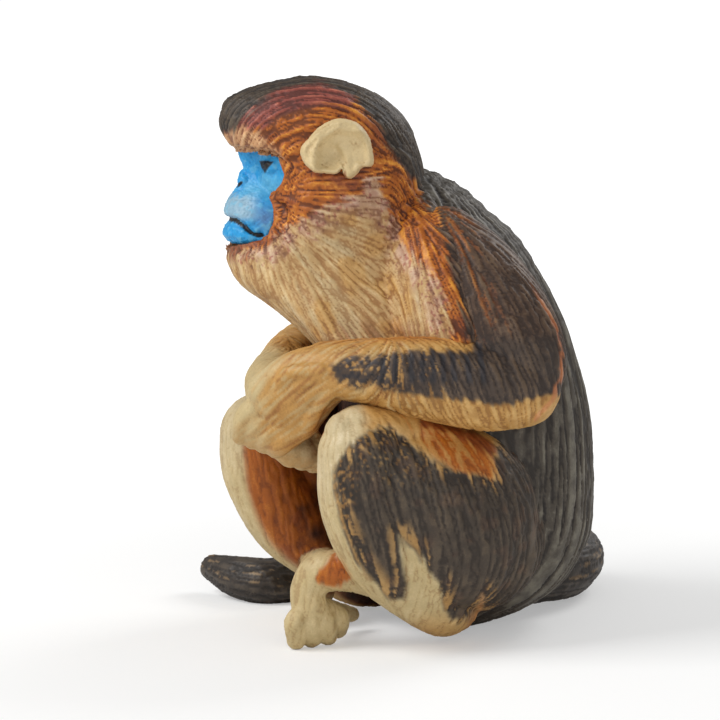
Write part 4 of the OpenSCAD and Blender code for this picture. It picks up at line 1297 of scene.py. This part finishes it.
# Where one coat passes into the next on the leg: up and forward (negative), then on the photographed side
FOOT_TOP, FOOT_FRONT = {1: (11, 8), -1: (6, 4)}, (-10, -13)
KNEE_FRONT, KNEE_UP, HEEL_TOP, LAP_DEPTH = (-6, -12), (20, 27), (8, 2), (-19, -9)
KNEE_BACK, KNEE_HIGH = (-11, -8), (23, 26)
TUFT_START, TUFT_HIGH, HIP_START, HIP_HIGH = (-7, -4), (26, 28), (-4, -1), (18, 20)
HEEL_RIM, HEEL_HIGH = (4.5, 6.5), (7, 5)
KNEE_SPECKS, SPECKS_HIGH, INK_HIGH, SHIN_SPECKS = (4, -4), (16, 26), (10, 24), (-10.5, -12.5)
INSTEP_HIGH, INSTEP_FRONT = 16, -13


def leg_piece(side, forms, seed):
    skin = Skin(forms, voxel=0.30, rounds=8)
    grounded(skin)
    u, v = side_plane(skin.points)
    y, z = skin.points[:, 1], skin.points[:, 2]
    out, ahead = skin.normals[:, 0] * side, skin.normals[:, 1]
    foot = ramp(*FOOT_TOP[side], z) * ramp(*FOOT_FRONT, y)
    patch = distance_inside(u, v, THIGH_EDGE)
    depth = 0.10 + 0.10 * ramp(-1, 1, patch) * ramp(-0.25, 0.15, out)
    skin.carve(leg_flow, depth, 0.72, reach=5.0, tuft=0.05, seed=seed)
    grounded(skin)
    rough = 0.2 * skin.ragged
    dusty, speck = ramp(0.2, 1.2, noise(skin.points, 2.0, seed + 2)), noise(skin.points, 0.45, seed + 4)

    paint = Paint(skin, "ivory")
    paint.lay(ramp(*KNEE_UP, z) * ramp(*KNEE_FRONT, y), "chalk")
    paint.lay(ramp(-1.5, 0.5, distance_inside(u, v, KNEE_TOP) + rough), "ochre", 0.9)
    paint.lay(ramp(*HEEL_TOP, z + rough) * (1 - foot), "ochre", 0.7)

    haunch = ramp(-0.5, 0.5, patch + rough)
    paint.lay(haunch * ramp(-0.3, 0.1, out), "thigh")
    around = (1 - haunch) * (out > 0)
    paint.lay(around * ramp(*KNEE_BACK, u) * ramp(*KNEE_HIGH, v), "ochre", 0.9)
    above = ramp(*TUFT_START, u) * ramp(*TUFT_HIGH, v) * (out > 0)
    paint.lay(above * ramp(0.2, 1.4, skin.ragged), "orange", 0.6)
    paint.lay(around * ramp(*HIP_START, u) * ramp(*HIP_HIGH, v), "ochre", 0.9)
    paint.lay(around * ramp(*HEEL_RIM, u) * ramp(*HEEL_HIGH, v), "orange", 0.6)
    haunch = haunch * ramp(-0.3, 0.1, out)
    paint.lay(haunch * dusty, "shoulder", 0.6)
    paint.lay(haunch * ramp(0.9, 1.5, speck) * ramp(*SPECKS_HIGH, v) * ramp(*KNEE_SPECKS, u), "ochre", 0.5)
    paint.lay(haunch * ramp(0.9, 1.5, -speck) * ramp(*INK_HIGH, v), "ink", 0.6)
    paint.lay(haunch * ramp(0.4, 1.2, speck) * ramp(*SHIN_SPECKS, u), "ochre", 0.6)
    fringe = ramp(-0.4, 0.3, patch) * ramp(3.0, 0.5, patch) * (out > 0)
    paint.lay(fringe * ramp(0.5, 1.1, skin.ragged), "ochre", 0.7)

    tuft = ramp(-0.5, 0.5, distance_inside(u, v, TUFT_EDGE) + rough) * (out > 0)
    paint.lay(tuft, "orange")
    paint.lay(tuft * ramp(0.3, 1.1, skin.ragged), "ochre", 0.65)
    # Dark rust line along the tuft's upper edge: rust-coloured fur paint and painted shade
    paint.lay(ramp(1.3, 0.5, distance_to_line(u, v, TUFT_ROOT_SHADE_LINE) + rough) * (out > 0), "rust", 0.85)

    inner = ramp(-0.28, -0.62, out) * ramp(-0.86, -0.72, ahead) * (1 - foot)
    paint.lay(inner, "inner")
    paint.lay(inner * ramp(0.2, 1.4, dusty - 0.6 * skin.ragged), "rust", 0.6)
    paint.lay(inner * ramp(*LAP_DEPTH, y + 1.2 * noise(skin.points, 2.0, seed + 3)), "shadow")
    if side > 0:
        instep = ramp(-0.4, 0.5, distance_inside(u, v, INSTEP_EDGE) + rough)
        paint.lay(instep * (z < INSTEP_HIGH) * (y < INSTEP_FRONT), "orange")
    return painted_mesh(skin, paint)


def left_leg_forms():
    return [
        limb_form(LEFT_THIGH, "thigh_w"),
        limb_form(LEFT_KNEE_FUR, "thigh_w"),
        limb_form(LEFT_SHIN, "shin_w"),
        limb_form(LEFT_FOOT, "foot_w"),
        limb_form(LEFT_INNER_TOE, "toe_d", sides=24),
        limb_form(LEFT_BIG_TOE, "toe_d", sides=24),
        *digit_forms(*LEFT_TOES, LEFT_TOE_COUNT, "toe_d"),
    ]


def right_leg_forms():
    return [
        limb_form(RIGHT_THIGH, "thigh_w"),
        limb_form(RIGHT_SHIN, "shin_w"),
        limb_form(RIGHT_FOOT, "foot_w"),
        *digit_forms(*RIGHT_TOES, RIGHT_TOE_COUNT, "toe_d"),
    ]


# Tail

TAIL = (
    (0.020, 0.40, 0.085, 0.45, 0.45),
    (-0.12, 0.66, 0.080, 0.50, 0.50),
    (-0.37, 0.82, 0.074, 0.50, 0.50),
    (-0.60, 0.71, 0.064, 0.46, 0.50),
    (-0.74, 0.45, 0.056, 0.42, 0.50),
    (-0.79, 0.15, 0.050, 0.39, 0.48),
    (-0.705, -0.15, 0.045, 0.38, 0.48),
    (-0.62, -0.345, 0.044, 0.38, 0.46),
    (-0.72, -0.44, 0.048, 0.34, 0.38),
    (-0.875, -0.485, 0.056, 0.22, 0.22),
)


def tail_flow(points):
    """Along the tail's centre line: the direction of its nearest stretch"""
    line = smooth_rows(np.array(TAIL)[:, :3] * seat_size(), 6)
    way = unit(np.gradient(line, axis=0))
    nearest = ((points[:, None, :2] - line[None, :, :2]) ** 2).sum(axis=-1).argmin(axis=1)
    return way[nearest]


def tail_piece():
    skin = Skin([tube_form(TAIL, size("tail_h"), size("tail_w"), (0, 0, 1))], voxel=0.32)
    grounded(skin)
    skin.carve(tail_flow, 0.2, 0.75, reach=7.0, tuft=0.08, seed=61)
    grounded(skin)
    fleck = skin.combed(tail_flow, 0.6, 1.4, 63)
    paint = Paint(skin, "tail")
    paint.lay(ramp(1.2, 1.7, fleck) * (skin.normals[:, 2] > -0.2), "fleck", 0.7)
    return painted_mesh(skin, paint)


# Operators: one for each piece or group of like pieces

class MONKEY_OT_torso(bpy.types.Operator):
    """Adds the body: back, flanks and belly under combed fur"""
    bl_idname, bl_label = "monkey.torso", "Torso"
    bl_options = {"REGISTER", "UNDO"}

    def execute(self, context):
        fur = painted_plastic("Dark fur paint", wash=0.75)
        add_piece("torso_fur", torso_piece(), "torso", fur)
        return {"FINISHED"}


class MONKEY_OT_face(bpy.types.Operator):
    """Adds the bare blue face"""
    bl_idname, bl_label = "monkey.face", "Face"
    bl_options = {"REGISTER", "UNDO"}

    def execute(self, context):
        add_piece("bare_face", face_piece(), "face",
                  painted_plastic("Blue skin paint", 0.42, wash=0.45, brush=0.35, grain_mm=0.16, bump=0.12))
        return {"FINISHED"}


class MONKEY_OT_head(bpy.types.Operator):
    """Adds the hair cap, cheeks, beard and cape of fur round the face"""
    bl_idname, bl_label = "monkey.head", "Head fur"
    bl_options = {"REGISTER", "UNDO"}

    def execute(self, context):
        fur = painted_plastic("Mane paint", wash=0.8, brush=0.9)
        add_piece("head_fur", head_piece(), "head", fur)
        return {"FINISHED"}


class MONKEY_OT_ears(bpy.types.Operator):
    """Adds both ears"""
    bl_idname, bl_label = "monkey.ears", "Ears"
    bl_options = {"REGISTER", "UNDO"}

    def execute(self, context):
        material = painted_plastic("Ear paint", 0.45, wash=0.7, brush=0.3, grain_mm=0.2, bump=0.08)
        for node, side in (("left_ear", 1), ("right_ear", -1)):
            add_piece(f"{node}_skin", ear_piece(side), node, material)
        return {"FINISHED"}


class MONKEY_OT_arms(bpy.types.Operator):
    """Adds both arms with their hands"""
    bl_idname, bl_label = "monkey.arms", "Arms"
    bl_options = {"REGISTER", "UNDO"}

    def execute(self, context):
        material = painted_plastic("Arm paint", wash=0.6)
        for node, side, forms, seed in (("left_arm", 1, left_arm_forms(), 41),
                                        ("right_arm", -1, right_arm_forms(), 43)):
            add_piece(f"{node}_fur", arm_piece(side, forms, seed), node, material)
        return {"FINISHED"}


class MONKEY_OT_legs(bpy.types.Operator):
    """Adds both legs with their feet"""
    bl_idname, bl_label = "monkey.legs", "Legs"
    bl_options = {"REGISTER", "UNDO"}

    def execute(self, context):
        material = painted_plastic("Leg paint", wash=0.6)
        for node, side, forms, seed in (("left_leg", 1, left_leg_forms(), 51),
                                        ("right_leg", -1, right_leg_forms(), 53)):
            add_piece(f"{node}_fur", leg_piece(side, forms, seed), node, material)
        return {"FINISHED"}


class MONKEY_OT_tail(bpy.types.Operator):
    """Adds the tail that lies round the right side"""
    bl_idname, bl_label = "monkey.tail", "Tail"
    bl_options = {"REGISTER", "UNDO"}

    def execute(self, context):
        add_piece("tail_fur", tail_piece(), "tail", painted_plastic("Tail paint", wash=0.6))
        return {"FINISHED"}


# Stage: floor, lamps, world and camera

LENS, SENSOR_WIDTH = 186.2, 36.0
FLOOR_REACH = 2000.0
ROOM_LIGHT = 0.32
# Square lamps: name, place and side in millimetres, and watts
LAMPS = (
    ("key", (-60, -420, 420), 300, 2.2),
    ("fill", (450, -100, 160), 300, 0.45),
    ("rim", (-120, 420, 360), 250, 1.1),
)


def aim(obj, place):
    """Places a lamp or camera and turns it to look at the figure's middle"""
    place, target = Vector(place) * MM, Vector(VIEW_TARGET) * MM
    obj.location = place
    obj.rotation_euler = (target - place).to_track_quat("-Z", "Y").to_euler()


def add_floor():
    corners = np.array(((-1, -1, 0), (1, -1, 0), (1, 1, 0), (-1, 1, 0))) * FLOOR_REACH * MM
    floor = bpy.data.objects.new("floor", plain_mesh("floor", corners, [[0, 1, 2, 3]]))
    bpy.context.scene.collection.objects.link(floor)
    floor.data.materials.append(floor_material())


def add_lamp(name, place, side, watts):
    lamp = bpy.data.lights.new(name, "AREA")
    lamp.energy, lamp.size = watts, side * MM
    lamp_object = bpy.data.objects.new(name, lamp)
    bpy.context.scene.collection.objects.link(lamp_object)
    aim(lamp_object, place)


def add_camera():
    """The camera that took the photograph's view"""
    lens = bpy.data.cameras.new("photo_view")
    lens.lens, lens.sensor_width = LENS, SENSOR_WIDTH
    camera = bpy.data.objects.new("photo_view", lens)
    bpy.context.scene.collection.objects.link(camera)
    aim(camera, VIEW_TARGET + VIEW_DISTANCE * view_axes()[2])
    bpy.context.scene.camera = camera


class MONKEY_OT_stage(bpy.types.Operator):
    """Adds the floor, the soft lamps, the white surroundings and the camera"""
    bl_idname, bl_label = "monkey.stage", "Stage"
    bl_options = {"REGISTER", "UNDO"}

    def execute(self, context):
        add_floor()
        for lamp in LAMPS:
            add_lamp(*lamp)
        context.scene.world = white_room()
        context.scene.view_settings.view_transform = "Standard"
        add_camera()
        return {"FINISHED"}


WHITE = (1, 1, 1, 1)
FLOOR_WHITE = (0.93, 0.93, 0.92, 1)
FLOOR_GLOW = 1.2
# Share of plain white under the figure, and the distances in metres between which the rest follows
NEAR_WHITE, SHADOW_REACH = 0.3, (0.06, 0.2)


def floor_material():
    """White floor that keeps the figure's shadow near it and runs out into plain white for the camera"""
    nodes = Nodes(bpy.data.materials.new("Pale floor"))
    place = nodes.node("ShaderNodeTexCoord", out="Object")
    away = nodes.node("ShaderNodeVectorMath", {"operation": "LENGTH"}, {0: place}, out="Value")
    shown = nodes.node("ShaderNodeLightPath", out="Is Camera Ray")
    share = (NEAR_WHITE + (1 - NEAR_WHITE) * away.between(*SHADOW_REACH)) * shown
    near = nodes.node("ShaderNodeBsdfDiffuse", inputs={"Color": FLOOR_WHITE})
    far = nodes.node("ShaderNodeEmission", inputs={"Color": WHITE, "Strength": FLOOR_GLOW})
    return nodes.finished(nodes.node("ShaderNodeMixShader", inputs={0: share, 1: near, 2: far}))


def white_room():
    """White surroundings: full white to the camera, softer light on the figure"""
    nodes = Nodes(bpy.data.worlds.new("White room"))
    shown = nodes.node("ShaderNodeLightPath", out="Is Camera Ray")
    light = nodes.node("ShaderNodeBackground", inputs={"Color": WHITE, "Strength": ROOM_LIGHT})
    white = nodes.node("ShaderNodeBackground", inputs={"Color": WHITE, "Strength": 1.0})
    return nodes.finished(nodes.node("ShaderNodeMixShader", inputs={0: shown, 1: light, 2: white}),
                          "ShaderNodeOutputWorld")


PIECES = (MONKEY_OT_torso, MONKEY_OT_face, MONKEY_OT_head, MONKEY_OT_ears, MONKEY_OT_arms, MONKEY_OT_legs,
          MONKEY_OT_tail, MONKEY_OT_stage)


class MONKEY_PT_panel(bpy.types.Panel):
    """Lists the figurine's pieces, sizes and colours in the sidebar"""
    bl_idname, bl_label = "MONKEY_PT_panel", "Monkey Figurine"
    bl_space_type, bl_region_type, bl_category = "VIEW_3D", "UI", "Monkey"

    def draw(self, context):
        for piece in PIECES:
            self.layout.operator(piece.bl_idname)
        for group in (context.scene.monkey_sizes, context.scene.monkey_paint):
            column = self.layout.column()
            for name in group.__annotations__:
                column.prop(group, name)


CLASSES = (MonkeySizes, MonkeyPaint, *PIECES, MONKEY_PT_panel)


def register():
    for cls in CLASSES:
        bpy.utils.register_class(cls)
    bpy.types.Scene.monkey_sizes = PointerProperty(type=MonkeySizes)
    bpy.types.Scene.monkey_paint = PointerProperty(type=MonkeyPaint)


def unregister():
    del bpy.types.Scene.monkey_paint
    del bpy.types.Scene.monkey_sizes
    for cls in reversed(CLASSES):
        bpy.utils.unregister_class(cls)


def main():
    """Builds every piece"""
    register()
    for piece in PIECES:
        group, call = piece.bl_idname.split(".")
        getattr(getattr(bpy.ops, group), call)()


if __name__ == "__main__":
    main()
